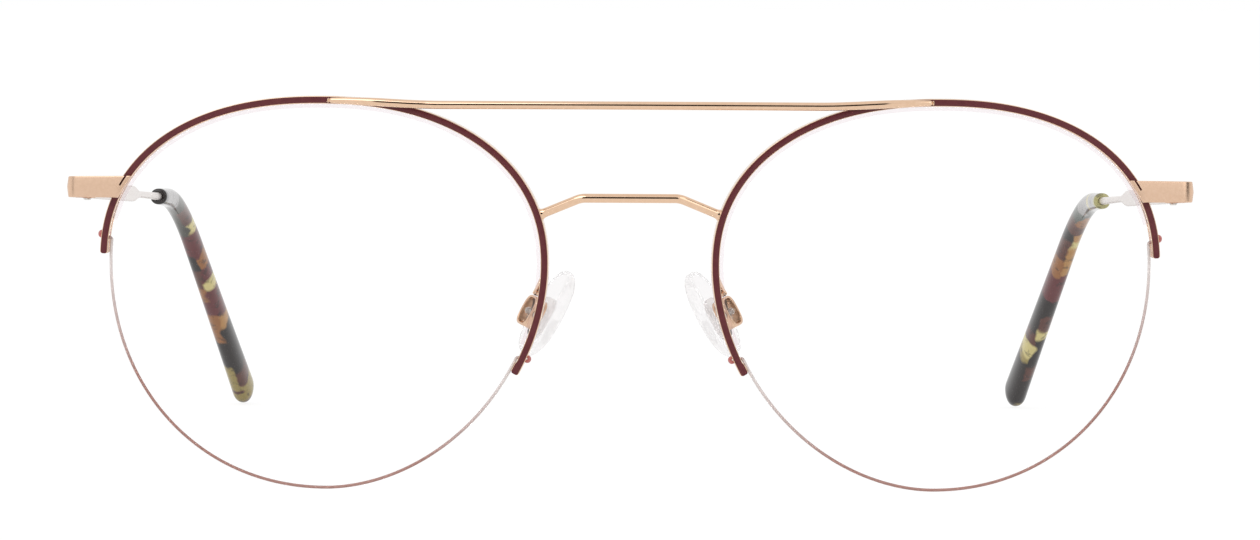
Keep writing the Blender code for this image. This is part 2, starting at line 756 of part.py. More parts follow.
def make_hinge_front():
    """Leaf with the top and bottom knuckles; its middle is cut clear of the temple's knuckle."""
    y = hinge_axis()[1]
    level = knuckle_levels()
    plate = leaf("hinge_front", y - HINGE_FRONT_LEAF_LENGTH, y - BUTT_GAP / 2)
    knuckles = [
        barrel("knuckle_low", HINGE_BARREL, level[0], level[1]),
        barrel("knuckle_high", HINGE_BARREL, level[2], level[3]),
    ]
    hinge = combine(plate, knuckles, "UNION")
    room = barrel("room", HINGE_BARREL + RUNNING_FIT, level[1], level[2])
    bore = barrel("bore", SCREW_RADIUS + FIT, level[0] - OVERRUN, level[3] + OVERRUN)
    seat_floor = level[3] - SCREW_HEAD_HEIGHT - FIT
    head = barrel("head", SCREW_HEAD_RADIUS + FIT, seat_floor, level[3] + OVERRUN)
    return combine(hinge, [room, bore, head], "DIFFERENCE")


def make_hinge_temple():
    """Leaf with the middle knuckle, cut clear of the front's two knuckles."""
    y = hinge_axis()[1]
    level = knuckle_levels()
    plate = leaf("hinge_temple", y + BUTT_GAP / 2, y + HINGE_TEMPLE_LEAF_LENGTH)
    low, high = level[1] + RUNNING_FIT, level[2] - RUNNING_FIT
    hinge = combine(plate, [barrel("knuckle", HINGE_BARREL, low, high)], "UNION")
    room = HINGE_BARREL + RUNNING_FIT
    cuts = [
        barrel("room_low", room, level[0] - OVERRUN, low),
        barrel("room_high", room, high, level[3] + OVERRUN),
        barrel("bore", SCREW_RADIUS + RUNNING_FIT, low - OVERRUN, high + OVERRUN),
    ]
    return combine(hinge, cuts, "DIFFERENCE")


def make_hinge_screw():
    """Turned screw with its head sunk in the top knuckle and its end below the bottom one."""
    level = knuckle_levels()
    top, tail = level[3], level[0] - SCREW_TAIL
    profile = (
        (0, top),
        (SCREW_HEAD_RADIUS, top),
        (SCREW_HEAD_RADIUS, top - SCREW_HEAD_HEIGHT),
        (SCREW_RADIUS, top - SCREW_HEAD_HEIGHT),
        (SCREW_RADIUS, tail + SCREW_RADIUS * (1 - SCREW_TAIL_SHARE)),
        (SCREW_RADIUS * SCREW_TAIL_SHARE, tail),
        (0, tail),
    )
    x, y = hinge_axis()
    screw = moved(turned("hinge_screw", profile), Matrix.Translation((x, y, 0)))
    half, reach = SCREW_SLOT / 2, SCREW_HEAD_RADIUS + OVERRUN
    floor = top - SCREW_HEAD_HEIGHT / 2
    slot = box("screw_slot", (x - reach, y - half, floor), (x + reach, y + half, top + OVERRUN))
    return combine(screw, [slot], "DIFFERENCE")


# Temple


def temple_path():
    """Middle line of blade, wire and tip: back from the hinge, then down and inward."""
    outer_x, butt_y = END_OUTER - BLADE_THICKNESS / 2, hinge_axis()[1] + BUTT_GAP / 2
    start = (outer_x, butt_y, END_LEVEL)
    turn_in = (outer_x, butt_y + HINGE_TEMPLE_LEAF_LENGTH + BLADE_TURN, END_LEVEL)
    bend = (END_OUTER - TEMPLE_BEND_INSET, TEMPLE_BEND_SETBACK, END_LEVEL)
    end = (END_OUTER - TEMPLE_END_INSET, TEMPLE_END_SETBACK, END_LEVEL - TEMPLE_DROP)
    return rounded_path([start, turn_in, bend, end], [TEMPLE_BEND_RADIUS] * 2, steps=12)


def make_temple():
    """Flat blade that runs out into a round wire, with the tip's core at its end."""
    path = temple_path()
    length = path_length(path)
    core_end = length - CORE_END_GAP
    blade_end = BLADE_LENGTH + BLADE_RUN_OUT
    places = np.array(
        [
            0,
            HINGE_TEMPLE_LEAF_LENGTH,
            HINGE_TEMPLE_LEAF_LENGTH + 2 * BLADE_TURN,
            BLADE_LENGTH / 2,
            BLADE_LENGTH,
            BLADE_LENGTH + BLADE_RUN_OUT / 2,
            blade_end,
            (blade_end + TIP_START) / 2,
            TIP_START,
            *np.linspace(TIP_START, core_end, 14)[1:],
        ]
    )
    known = (0, BLADE_LENGTH, blade_end, TIP_START, core_end)
    heights = (BLADE_HEIGHT / 2, BLADE_END_HEIGHT / 2, WIRE_RADIUS, CORE_RADIUS, CORE_RADIUS)
    widths = (BLADE_THICKNESS / 2, BLADE_THICKNESS / 2, WIRE_RADIUS, CORE_RADIUS, CORE_RADIUS)
    powers = (BLADE_POWER, BLADE_POWER, ROUND_POWER, ROUND_POWER, ROUND_POWER)
    sections = sections_on(
        path,
        places,
        np.interp(places, known, widths),
        np.interp(places, known, heights),
        np.interp(places, known, powers),
        WIRE_SEGMENTS,
    )
    return loft("temple", sections)


def make_temple_tip():
    """Moulded tip over the temple wire, swelling to a rounded tail, with the wire's bore."""
    path = temple_path()
    length = path_length(path)
    bend = TIP_START + TIP_SWELL
    tail_steps = np.sin(np.linspace(0, 0.49 * math.pi, 6))
    places = np.array(
        [
            TIP_START,
            TIP_START + TIP_MOUTH_ROUND / 3,
            TIP_START + TIP_MOUTH_ROUND,
            *np.linspace(TIP_START + TIP_MOUTH_ROUND, bend, 6)[1:],
            *np.linspace(bend, length - TIP_TAIL_ROUND, 11)[1:-1],
            *(length - TIP_TAIL_ROUND + TIP_TAIL_ROUND * tail_steps),
        ]
    )
    growth = np.clip((places - bend) / (length - bend), 0, 1) ** TIP_GROWTH_POWER
    known = (TIP_START, bend)
    widths = np.interp(places, known, (TIP_MOUTH_THICKNESS / 2, TIP_BEND_THICKNESS / 2))
    heights = np.interp(places, known, (TIP_MOUTH_HEIGHT / 2, TIP_BEND_HEIGHT / 2))
    widths += growth * (TIP_TAIL_THICKNESS - TIP_BEND_THICKNESS) / 2
    heights += growth * (TIP_TAIL_HEIGHT - TIP_BEND_HEIGHT) / 2
    mouth = np.clip((places - TIP_START) / TIP_MOUTH_ROUND, 0, 1)
    mouth = TIP_MOUTH_SHARE + (1 - TIP_MOUTH_SHARE) * np.sqrt(1 - (1 - mouth) ** 2)
    tail = np.clip((places - length + TIP_TAIL_ROUND) / TIP_TAIL_ROUND, 0, 1)
    shares = mouth * np.sqrt(1 - tail**2)
    powers = [TIP_POWER] * len(places)
    sections = sections_on(path, places, widths * shares, heights * shares, powers, TIP_SEGMENTS)
    tip = loft("temple_tip", sections)
    bore_end = length - CORE_END_GAP + CORE_CLEARANCE
    bore_places = np.concatenate(
        [[TIP_START - OVERRUN], np.linspace(TIP_START, length - CORE_END_GAP, 14)[1:], [bore_end]]
    )
    radii = [CORE_RADIUS + RUNNING_FIT] * len(bore_places)
    powers = [ROUND_POWER] * len(bore_places)
    sections = sections_on(path, bore_places, radii, radii, powers, WIRE_SEGMENTS)
    return combine(tip, [loft("bore", sections)], "DIFFERENCE")


# Nose pads: modelled about the pad screw, x toward the nose, y forward, z up the pad


PAD_PLACE = (
    Matrix.Translation((PAD_BOX_X, PAD_BOX_SETBACK, -PAD_BOX_DROP))
    @ Matrix.Rotation(-PAD_FRONTAL, 4, "Y")
    @ Matrix.Rotation(math.pi - PAD_SPLAY, 4, "Z")
)
PAD_BACK = BOX_HEIGHT / 2 + PAD_CLEARANCE


def oblong_rings(name, length, width, levels, power=BOX_POWER, segments=BOX_SEGMENTS):
    """Solid of oblong rings: each level is a distance toward the nose and a size share."""
    ring = superellipse(width / 2, length / 2, power, segments)
    sections = [[(x, share * a, share * b) for a, b in ring] for x, share in levels]
    return loft(name, sections)


def make_pad():
    """Egg-shaped pad, flat at the back and domed to the nose, with the insert's recess."""
    ring = superellipse(PAD_WIDTH / 2, PAD_LENGTH / 2, PAD_POWER, PAD_SEGMENTS)
    sections = []
    for share, level in PAD_DOME_SHARES:
        x = PAD_BACK + level * PAD_THICKNESS
        narrow = 1 - PAD_TAPER_SHARE * ring[:, 1] / (PAD_LENGTH / 2)
        y, z = share * ring[:, 0] * narrow, share * ring[:, 1] + PAD_RAISE
        sections.append(np.stack([np.full(len(y), x), y, z], axis=1))
    recess = oblong_rings(
        "recess",
        FLANGE_LENGTH + 2 * FIT,
        FLANGE_WIDTH + 2 * FIT,
        ((PAD_BACK - OVERRUN, 1), (PAD_BACK + FLANGE_THICKNESS + FIT, 1)),
    )
    return combine(loft("nose_pad", sections), [recess], "DIFFERENCE")


def make_pad_insert():
    """Plastic insert: a flange sunk in the pad's back and a lug that the screw passes."""
    flange = oblong_rings(
        "pad_insert",
        FLANGE_LENGTH,
        FLANGE_WIDTH,
        ((PAD_BACK, 1), (PAD_BACK + FLANGE_THICKNESS, 1)),
    )
    half = LUG_LENGTH / 2
    block = box("lug", (0, -LUG_WIDTH / 2, -half), (PAD_BACK + FIT, LUG_WIDTH / 2, half))
    turn = Matrix.Rotation(math.pi / 2, 4, "X")
    nose = LUG_LENGTH / 4
    round_end = moved(cylinder("lug_end", nose, -LUG_WIDTH / 2, LUG_WIDTH / 2), turn)
    lug = combine(flange, [block, round_end], "UNION")
    return combine(lug, [cross_hole(PAD_SCREW_RADIUS + RUNNING_FIT)], "DIFFERENCE")


def cross_hole(radius):
    """Cutter along the pad screw's axis."""
    reach = BOX_WIDTH / 2 + OVERRUN
    hole = cylinder("cross_hole", radius, -reach, reach, WIRE_SEGMENTS)
    return moved(hole, Matrix.Rotation(math.pi / 2, 4, "X"))


def make_pad_box():
    """Oblong metal ring, open to the nose and to the rim, with the screw's holes in its sides."""
    half = BOX_HEIGHT / 2
    levels = (
        (-half, BOX_EDGE_SHARE),
        (-half + BOX_WALL / 2, 1),
        (half - BOX_WALL / 2, 1),
        (half, BOX_EDGE_SHARE),
    )
    ring = oblong_rings("pad_box", BOX_LENGTH, BOX_WIDTH, levels)
    opening = oblong_rings(
        "opening",
        BOX_LENGTH - 2 * BOX_WALL,
        BOX_WIDTH - 2 * BOX_WALL,
        ((-half - OVERRUN, 1), (half + OVERRUN, 1)),
    )
    return combine(ring, [opening, cross_hole(PAD_SCREW_RADIUS + FIT)], "DIFFERENCE")


def make_pad_screw():
    """Turned screw across the box, its head on the front side."""
    head = BOX_WIDTH / 2 + FIT
    tail = -BOX_WIDTH / 2 - FIT
    profile = (
        (0, head + PAD_SCREW_HEAD_HEIGHT),
        (PAD_SCREW_HEAD_RADIUS * SCREW_TAIL_SHARE, head + PAD_SCREW_HEAD_HEIGHT),
        (PAD_SCREW_HEAD_RADIUS, head + PAD_SCREW_HEAD_HEIGHT / 2),
        (PAD_SCREW_HEAD_RADIUS, head),
        (PAD_SCREW_RADIUS, head),
        (PAD_SCREW_RADIUS, tail),
        (0, tail),
    )
    return moved(turned("pad_screw", profile), Matrix.Rotation(-math.pi / 2, 4, "X"))


def make_pad_arm():
    """Wire soldered to the rim's back that turns away from it and down to the top of the box."""
    angles = [angle_at_height(height, nasal=True) for height in (ARM_HIGH, -ARM_LOW)]
    behind = RIM_DEPTH / 2 + FIT + ARM_RADIUS
    seat = in_wearing_frame(edge_points(angles, ARM_SIDE, behind))
    back, top = -ARM_BOX_SETBACK_SHARE * BOX_WIDTH, BOX_LENGTH / 2 + FIT
    before = np.array(PAD_PLACE @ Vector((-BOX_HEIGHT / 4, back, top + ARM_LEAD)))
    end = np.array(PAD_PLACE @ Vector((-BOX_HEIGHT / 4, back, top)))
    path = rounded_path([*seat, before, end], [ARM_BEND, ARM_END_BEND], steps=4)
    return wire("pad_arm", path, ARM_RADIUS, resolution=1)


# Assembly


def mirrored_matrix(matrix):
    flip = Matrix.Diagonal((-1, 1, 1, 1))
    return flip @ matrix @ flip


def mirrored_mesh(mesh):
    """Copy of a mesh mirrored in x, with its faces turned outward again."""
    copy = mesh.copy()
    copy.transform(Matrix.Diagonal((-1, 1, 1, 1)))
    copy.flip_normals()
    return copy


def add_empty(name, parent, matrix):
    empty = bpy.data.objects.new(name, None)
    empty.empty_display_size = HINGE_HEIGHT
    empty.parent = parent
    empty.matrix_basis = matrix
    return empty


def place(obj, name, parent, matrix, material):
    obj.name = obj.data.name = name
    obj.parent = parent
    obj.matrix_basis = matrix
    obj.data.materials.clear()
    obj.data.materials.append(material)


def build():
    for obj in list(bpy.data.objects):
        bpy.data.objects.remove(obj)
    collection = bpy.data.collections.new("eyeglass_frame")
    bpy.context.scene.collection.children.link(collection)
    materials = {name: make_material(name) for name in MATERIALS}

    root = add_empty("eyeglass_frame_origin", None, Matrix.Identity(4))
    collection.objects.link(root)
    rest = Matrix.Identity(4)
    x, y = hinge_axis()
    hinge_place = Matrix.Translation((x, y, END_LEVEL))

    singles = ((make_brow_bar, "rose_gold"), (make_bridge, "rose_gold"))
    for make, material in singles:
        piece = make()
        place(piece, piece.name, root, rest, materials[material])
        bpy.context.scene.collection.objects.unlink(piece)
        collection.objects.link(piece)

    # Each group: its place in the wearing frame, the frame its meshes are made in, its pieces
    groups = (
        (
            "lens_mount",
            LENS_PLACE,
            rest,
            (
                (make_rim, "burgundy_enamel"),
                (make_liner, "nylon_liner"),
                (make_lens, "demo_lens"),
                (make_cord, "nylon_cord"),
            ),
        ),
        (
            "hinge_mount",
            hinge_place,
            hinge_place,
            (
                (make_endpiece, "rose_gold"),
                (make_hinge_front, "rose_gold"),
                (make_hinge_screw, "screw_steel"),
            ),
        ),
        (
            "temple_pivot",
            hinge_place,
            hinge_place,
            (
                (make_temple, "pale_metal"),
                (make_hinge_temple, "rose_gold"),
                (make_temple_tip, "tortoise_acetate"),
            ),
        ),
        ("arm_mount", PAD_PLACE, PAD_PLACE, ((make_pad_arm, "rose_gold"),)),
        (
            "box_mount",
            PAD_PLACE,
            rest,
            ((make_pad_box, "rose_gold"), (make_pad_screw, "screw_steel")),
        ),
        (
            "pad_pivot",
            PAD_PLACE,
            rest,
            ((make_pad, "clear_silicone"), (make_pad_insert, "insert_plastic")),
        ),
    )
    for group, matrix, made_in, pieces in groups:
        left = add_empty(f"{group}_left", root, matrix)
        right = add_empty(f"{group}_right", root, mirrored_matrix(matrix))
        collection.objects.link(left)
        collection.objects.link(right)
        for make, material in pieces:
            piece = moved(make(), made_in.inverted())
            name = piece.name
            twin = bpy.data.objects.new(name, mirrored_mesh(piece.data))
            bpy.context.scene.collection.objects.unlink(piece)
            place(piece, f"{name}_left", left, rest, materials[material])
            place(twin, f"{name}_right", right, rest, materials[material])
            collection.objects.link(piece)
            collection.objects.link(twin)
    stand_on_floor(root, collection)


def frame_points(collection, words):
    """World points of the pieces whose names start with one of these words."""
    points = []
    for obj in collection.objects:
        if obj.type == "MESH" and obj.name.startswith(words):
            points += [obj.matrix_world @ vertex.co for vertex in obj.data.vertices]
    return np.array(points)


def stand_on_floor(root, collection):
    """Tilts the frame until lenses and tips touch one plane, then centres its bounding box."""
    bpy.context.view_layer.update()
    lenses = frame_points(collection, ("lens",))[:, 1:]
    tips = frame_points(collection, ("temple_tip",))[:, 1:]
    low, high = 0, math.pi / 8
    for _ in range(40):
        tilt = (low + high) / 2
        up = np.array([-math.sin(tilt), math.cos(tilt)])
        if (lenses @ up).min() < (tips @ up).min():
            low = tilt
        else:
            high = tilt
    root.rotation_euler = (-tilt, 0, 0)
    bpy.context.view_layer.update()
    points = frame_points(collection, ("",))
    middle = (points.min(axis=0) + points.max(axis=0)) / 2
    root.location = (-middle[0], -middle[1], -points[:, 2].min())
    bpy.context.view_layer.update()


build()
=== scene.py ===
"""Half-rim eyeglass frame with a double bridge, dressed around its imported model.

Everything is worked out in the wearing frame: x to the wearer's left, y back along the temples,
z up, zero midway between the lenses. The left half is made and the right half is its mirror
image. The left hinge joint gives the tilt and the place of that frame in the part's frame.
"""

import json
import math

import bpy
import numpy as np
from mathutils import Matrix, Vector


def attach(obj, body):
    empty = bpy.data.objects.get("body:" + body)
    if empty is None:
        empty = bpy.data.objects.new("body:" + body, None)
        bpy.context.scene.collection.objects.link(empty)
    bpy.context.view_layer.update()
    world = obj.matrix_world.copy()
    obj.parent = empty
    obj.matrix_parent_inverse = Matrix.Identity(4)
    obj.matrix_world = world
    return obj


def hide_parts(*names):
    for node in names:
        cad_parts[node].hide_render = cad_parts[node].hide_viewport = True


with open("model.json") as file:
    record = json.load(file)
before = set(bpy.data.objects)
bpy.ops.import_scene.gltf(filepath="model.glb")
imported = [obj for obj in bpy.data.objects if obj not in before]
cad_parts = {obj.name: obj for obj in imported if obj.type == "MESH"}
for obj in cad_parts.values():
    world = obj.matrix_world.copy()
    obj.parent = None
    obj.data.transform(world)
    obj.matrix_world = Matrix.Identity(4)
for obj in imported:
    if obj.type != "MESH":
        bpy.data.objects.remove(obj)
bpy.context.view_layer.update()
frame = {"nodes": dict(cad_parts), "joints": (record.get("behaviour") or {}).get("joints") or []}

MM = 0.001

# Fits
FIT = 0.05 * MM

# Lens outline and body
LENS_HALF_NASAL = 25.6 * MM
LENS_HALF_TEMPORAL = 25.65 * MM
LENS_HALF_UPPER = 18.8 * MM
LENS_HALF_LOWER = 26.85 * MM
POWER_NASAL_UPPER = 2.20
POWER_TEMPORAL_UPPER = 2.27
POWER_TEMPORAL_LOWER = 2.09
POWER_NASAL_LOWER = 1.89
LENS_GAP = 21.3 * MM
LENS_CENTRE = LENS_GAP / 2 + LENS_HALF_NASAL
LENS_BASE_RADIUS = 133 * MM
LENS_THICKNESS = 1.8 * MM
LENS_BEVEL = 0.12 * MM
LENS_TRIM = 0.025 * MM
GROOVE_WIDTH = 0.5 * MM
GROOVE_DEPTH = 0.5 * MM
WRAP = math.radians(4)
FRONT_TILT = math.radians(4)

# Half rims
RIM_WIDTH = 0.878 * MM
RIM_OUTER = FIT + RIM_WIDTH
RIM_MIDDLE = FIT + RIM_WIDTH / 2
RIM_DEPTH = 2.0 * MM
RIM_ROUND = 0.16 * MM
RIM_EDGE = 0.04 * MM
RIM_CREASE = 0.01 * MM
RIM_LIP = 0.09 * MM
RIM_TRAY = 0.07 * MM
RIM_CHANNEL_WIDTH = 0.6 * MM
RIM_CHANNEL_DEPTH = 0.3 * MM
RIM_TEMPORAL_END = math.radians(2)
RIM_NASAL_END = math.radians(209.7)
RIM_END_ROUND = 0.3 * MM
RIM_END_SHARE = 0.45
RIM_FOOT_LENGTH = 1.3 * MM
RIM_FOOT_LIP = 0.12 * MM
ENAMEL_DOME = 0.025 * MM
ENAMEL_SETBACK = 0.03 * MM
ENAMEL_PROUD = 0.004 * MM

# Nylon cord
CORD_RADIUS = 0.18 * MM
CORD_HOLE_SETBACK = 1.9 * MM
CORD_LOOP_RADIUS = 0.27 * MM
CORD_LOOP_SWELL = 0.3
CORD_BEND = 0.3 * MM
# The cord is painted pale for this stretch beside each rim end, a painted light, and fades back to
# rose over the next
CORD_PAINTED_PALE = 3.0 * MM
CORD_PAINTED_PALE_FADE = 14.0 * MM
CORD_SIDES = 16

# Brow bar
BAR_RADIUS = 0.49 * MM
BAR_END_SHARE = 0.6
BAR_TAPER = 7.0 * MM
BAR_HALF_LENGTH = 35.6 * MM
BAR_SEAT = 24.0 * MM
BAR_LEVEL_HALF = 22.0 * MM
BAR_DIP = 0.5 * MM
BAR_ARCH = 0.6 * MM
BAR_DROP = 0.05 * MM

# Bridge
BRIDGE_RADIUS = 0.54 * MM
BRIDGE_HEIGHT = 5.65 * MM
BRIDGE_RISE = 2.1 * MM
BRIDGE_LEVEL_HALF = 5.8 * MM
BRIDGE_ARCH = 1.6 * MM
BRIDGE_BEND = 2.4 * MM
BRIDGE_OVERLAP = 0.6 * MM
BRIDGE_FLARE_SHARE = 1.45
BRIDGE_FLARE_LENGTH = 0.7 * MM

# Endpiece
END_LEVEL = 9.1 * MM
END_HEIGHT = 2.6 * MM
END_HEIGHT_LOSS = 0.2 * MM
END_THICKNESS = 0.9 * MM
END_REACH = 4.65 * MM
END_OUTER = LENS_CENTRE + LENS_HALF_TEMPORAL + END_REACH
END_OVERLAP = 2.2 * MM
END_SLOPE = math.radians(8)
END_CORNER = 1.3 * MM
END_ROUND = 0.14 * MM
END_CROWN = 0.32 * MM
END_SLOT_MARGIN = 0.38 * MM
END_SLOT_WIDTH = 0.22 * MM
END_SLOT_LENGTH = 1.3 * MM
END_SLOT_INSET = 0.5 * MM

# Hinge
HINGE_SETBACK = 5.3 * MM
HINGE_BARREL = 1.0 * MM
HINGE_TEMPLE_LEAF_LENGTH = 4.6 * MM
BUTT_GAP = 0.1 * MM

# Temple and its tip
TEMPLE_BEND_SETBACK = 98.0 * MM
TEMPLE_BEND_INSET = 4.45 * MM
TEMPLE_END_SETBACK = 134.6 * MM
TEMPLE_END_INSET = 11.25 * MM
TEMPLE_DROP = 28.0 * MM
TEMPLE_BEND_RADIUS = 30.0 * MM
BLADE_LENGTH = 52.0 * MM
BLADE_HEIGHT = 2.4 * MM
BLADE_END_HEIGHT = 2.0 * MM
BLADE_THICKNESS = 0.9 * MM
BLADE_RUN_OUT = 2.5 * MM
BLADE_DRAW_START = 46.6 * MM
BLADE_DRAW_LENGTH = 6.9 * MM
BLADE_POWER = 5
BLADE_EDGE = 0.12 * MM
BLADE_EVEN_START = 0.5 * MM
BLADE_TURN = 1.0 * MM
WIRE_RADIUS = 0.43 * MM
CORE_RADIUS = 0.5 * MM
CORE_END_GAP = 9.0 * MM
CORE_CLEARANCE = 0.4 * MM
TIP_START = 71.0 * MM
TIP_MOUTH_ROUND = 0.35 * MM
TIP_SWELL = 14.0 * MM
# Thickness, then height: at the mouth, at the bend and at the tail
TIP_SIZES = ((2.3 * MM, 2.5 * MM, 3.1 * MM), (2.2 * MM, 2.8 * MM, 4.8 * MM))
TIP_SIDES = 64
TIP_TAIL_ROUND = 2.6 * MM
TIP_GROWTH_POWER = 1.5
TIP_POWER = 2.2
TIP_TRIM = 0.045 * MM
TIP_LENGTH = 63.5 * MM
TIP_FACING = 0.7

# Nose pads
PAD_BOX_X = 11.6 * MM
PAD_BOX_SETBACK = 7.7 * MM
PAD_BOX_DROP = 5.5 * MM
PAD_FRONTAL = math.radians(28)
PAD_SPLAY = math.radians(28)
PAD_LENGTH = 11.2 * MM
PAD_WIDTH = 6.2 * MM
PAD_THICKNESS = 2.2 * MM
PAD_TAPER_SHARE = 0.16
PAD_FULLNESS = (0.68, 0.92)
# From the pad's back to its front: share of its thickness, share of its outline
PAD_PROFILE = (
    (0.0, 0.72), (0.0, 0.88), (0.02, 0.925), (0.08, 0.965), (0.18, 0.99), (0.3, 1.0),
    (0.42, 1.0), (0.54, 0.985), (0.64, 0.96), (0.73, 0.925), (0.8, 0.875), (0.86, 0.81),
    (0.91, 0.72), (0.95, 0.58), (0.98, 0.38), (1.0, 0.12),
)
PAD_POWER = 2.3
PAD_CLEARANCE = 0.35 * MM
PAD_RAISE = 0.75 * MM
BOX_LENGTH = 3.8 * MM
BOX_WIDTH = 3.0 * MM
BOX_HEIGHT = 1.7 * MM
BOX_WALL = 0.3 * MM
BOX_POWER = 3.2
FLANGE_LENGTH = 5.2 * MM
FLANGE_WIDTH = 3.0 * MM
FLANGE_THICKNESS = 0.5 * MM
PAD_BACK = BOX_HEIGHT / 2 + PAD_CLEARANCE
PAD_SCREW_RADIUS = 0.35 * MM
PAD_SCREW_HEAD_RADIUS = 0.6 * MM
PAD_SCREW_HEAD_HEIGHT = 0.3 * MM
PAD_SCREW_SLOT = 0.16 * MM
PAD_SCREW_CHAMFER = 0.1 * MM
ARM_RADIUS = 0.42 * MM
ARM_HIGH = 1.6 * MM
ARM_LOW = 1.4 * MM
ARM_SIDE = 0.35 * MM
ARM_BEND = 0.9 * MM
ARM_LEAD = 0.7 * MM
ARM_END_BEND = 0.5 * MM
ARM_BOX_SETBACK_SHARE = 0.2

# Chips of the tortoise acetate; the light grey one is a painted reflection, not an acetate colour
CHIP_COLOURS = {
    "dark": "332E2D", "moss": "545B54", "olive": "4B4942", "brown": "644139", "wine": "6B393B",
    "amber": "9E6B42", "honey": "B98B55", "straw": "A3925A", "cream": "D9CB8B", "haze": "A5A2A1",
    "pale": "B9B37F",
}
CHIP_SOFTNESS = 0.25
CHIP_SWIRL = 4.0 * MM
CHIP_SWAY = 2.2 * MM
CHIP_BLEND = 0.12
FLECK = 1.1 * MM
FLECK_RANGE = {"From Min": 0.56, "From Max": 0.66, "To Max": 0.55}
# A row on each tip's nose side, then one on its outer side: how many millimetres from the tip's
# mouth each chip ends. The light grey chips near the mouth are a painted reflection of the bend's
# glossy top
TIP_CHIPS = {
    "right": (
        "2 dark, 11 haze, 15 olive, 21 brown, 22.6 cream, 28.5 wine, 31 amber, 34.6 wine, "
        "36.2 cream, 43 wine, 44.8 honey, 55.5 dark, 58 brown, 62 straw, 63.5 brown",
        "2 dark, 8 haze, 23 olive, 28 wine, 31.5 dark, 36 brown, 38.5 amber, 42.5 wine, 48 "
        "amber, 54.5 dark, 59 straw, 60 brown, 62.8 straw, 63.5 brown",
    ),
    "left": (
        "1.5 pale, 6.5 haze, 7.5 cream, 14 haze, 18 moss, 21 brown, 24.5 dark, 28 brown, 32 "
        "amber, 37.5 wine, 45 dark, 48 brown, 51 cream, 52 straw, 63.5 dark",
        "1.5 pale, 5 haze, 15.5 olive, 18.5 amber, 21.5 brown, 24 honey, 25.5 cream, 31 "
        "honey, 37.5 wine, 41 dark, 44 brown, 46.3 cream, 53 dark, 56 brown, 61 dark, 63.5 "
        "straw",
    ),
}

# Noise values between which a material's colour changes, and for each curve of a clear plastic
# its bend and the value where it starts
SPOT_RANGE = (0.3, 0.7)
LOOK_CURVES = {"Facing": (0.5, 0.0), "Fresnel": (0.3, 0.03)}

SIDES = (("left", 1), ("right", -1))
CREASE = math.radians(35)
# Shifts to the left lens's middle and up to the endpiece's level
CENTRE = np.array([LENS_CENTRE, 0, 0])
LEVEL = np.array([0, 0, END_LEVEL])

# Camera and lights
CAMERA_LENS = 140.69
CAMERA_SENSOR = 36.0
CAMERA_DISTANCE = 576.5 * MM
CAMERA_HEIGHT = -0.41 * MM
CAMERA_ROLL = math.radians(-0.28)
ROOM_LIGHT = 0.75
FLOOR_REACH = 200.0
FLOOR_GLOW = 0.86
FLOOR_GAP = 0.2 * MM
FLOOR_SHADE = (0.2, 0.2, 0.2, 1)
WHITE = (1, 1, 1, 1)
LAMP_AIM = (0, 0, 0.03)
# Width and height, then place in the wearing frame
CARDS = (
    ("dark_card_behind", (0.3, 0.8), (0.0, -0.7, 0.08)),
    ("dark_card_left", (0.26, 0.9), (0.56, -0.21, 0.1)),
    ("dark_card_right", (0.07, 0.9), (-0.56, -0.21, 0.1)),
)
# Place, size and watts
LAMPS = (
    ("key", (-1.2, -2.0, 2.2), 2.4, 22.0),
    ("fill", (1.8, -1.6, 1.4), 2.4, 10.0),
)


# Frames


def turn(axis, angle):
    """Matrix of a turn about one of the axes."""
    cos, sin = math.cos(angle), math.sin(angle)
    i, j = [(1, 2), (2, 0), (0, 1)]["xyz".index(axis)]
    matrix = np.eye(3)
    matrix[i, i] = matrix[j, j] = cos
    matrix[i, j], matrix[j, i] = -sin, sin
    return matrix


def lens_to_wearing(points):
    """Points of the left lens plane: wrapped, tilted about the endpiece's level, moved out."""
    return (points @ turn("z", WRAP).T - LEVEL) @ turn("x", FRONT_TILT).T + LEVEL + CENTRE


def pad_to_wearing(points):
    """Points of the left pad's own frame: x to the nose, y along the screw, z up the pad."""
    matrix = turn("y", -PAD_FRONTAL) @ turn("z", math.pi - PAD_SPLAY)
    return points @ matrix.T + np.array([PAD_BOX_X, PAD_BOX_SETBACK, -PAD_BOX_DROP])


# Curves and grids


def unit(vectors):
    return vectors / np.linalg.norm(vectors, axis=-1, keepdims=True)


def rounded(corners, radii, steps, closed):
    """Corner points joined by straight lines, each corner an arc that touches both lines."""
    corners = np.asarray(corners, float)
    before, at, after = np.roll(corners, 1, axis=0), corners, np.roll(corners, -1, axis=0)
    if not closed:
        before, at, after = before[1:-1], at[1:-1], after[1:-1]
    radii = np.broadcast_to(np.asarray(radii, float), len(at))[:, None]
    back, ahead = unit(before - at), unit(after - at)
    half = np.arccos(np.clip((back * ahead).sum(-1), -1, 1))[:, None] / 2
    centre = at + unit(back + ahead) * radii / np.sin(half)
    start = at + back * radii / np.tan(half) - centre
    end = at + ahead * radii / np.tan(half) - centre
    sweep = (np.pi - 2 * half)[:, None]
    share = np.linspace(0, 1, steps + 1)[None, :, None]
    arc = start[:, None] * np.sin(sweep * (1 - share)) + end[:, None] * np.sin(sweep * share)
    points = (centre[:, None] + arc / np.sin(sweep)).reshape(-1, corners.shape[1])
    return points if closed else np.concatenate([corners[:1], points, corners[-1:]])


def distances_along(path):
    return np.concatenate([[0], np.cumsum(np.linalg.norm(np.diff(path, axis=0), axis=1))])


def path_at(path, distances):
    """Points and directions on a path at these distances from its start."""
    along = distances_along(path)
    keep = np.concatenate([[True], np.diff(along) > 1e-9])
    path, along = path[keep], along[keep]
    slopes = np.gradient(path, along, axis=0)
    points, slopes = (
        np.stack([np.interp(distances, along, column) for column in values.T], axis=1)
        for values in (path, slopes)
    )
    return points, unit(slopes)


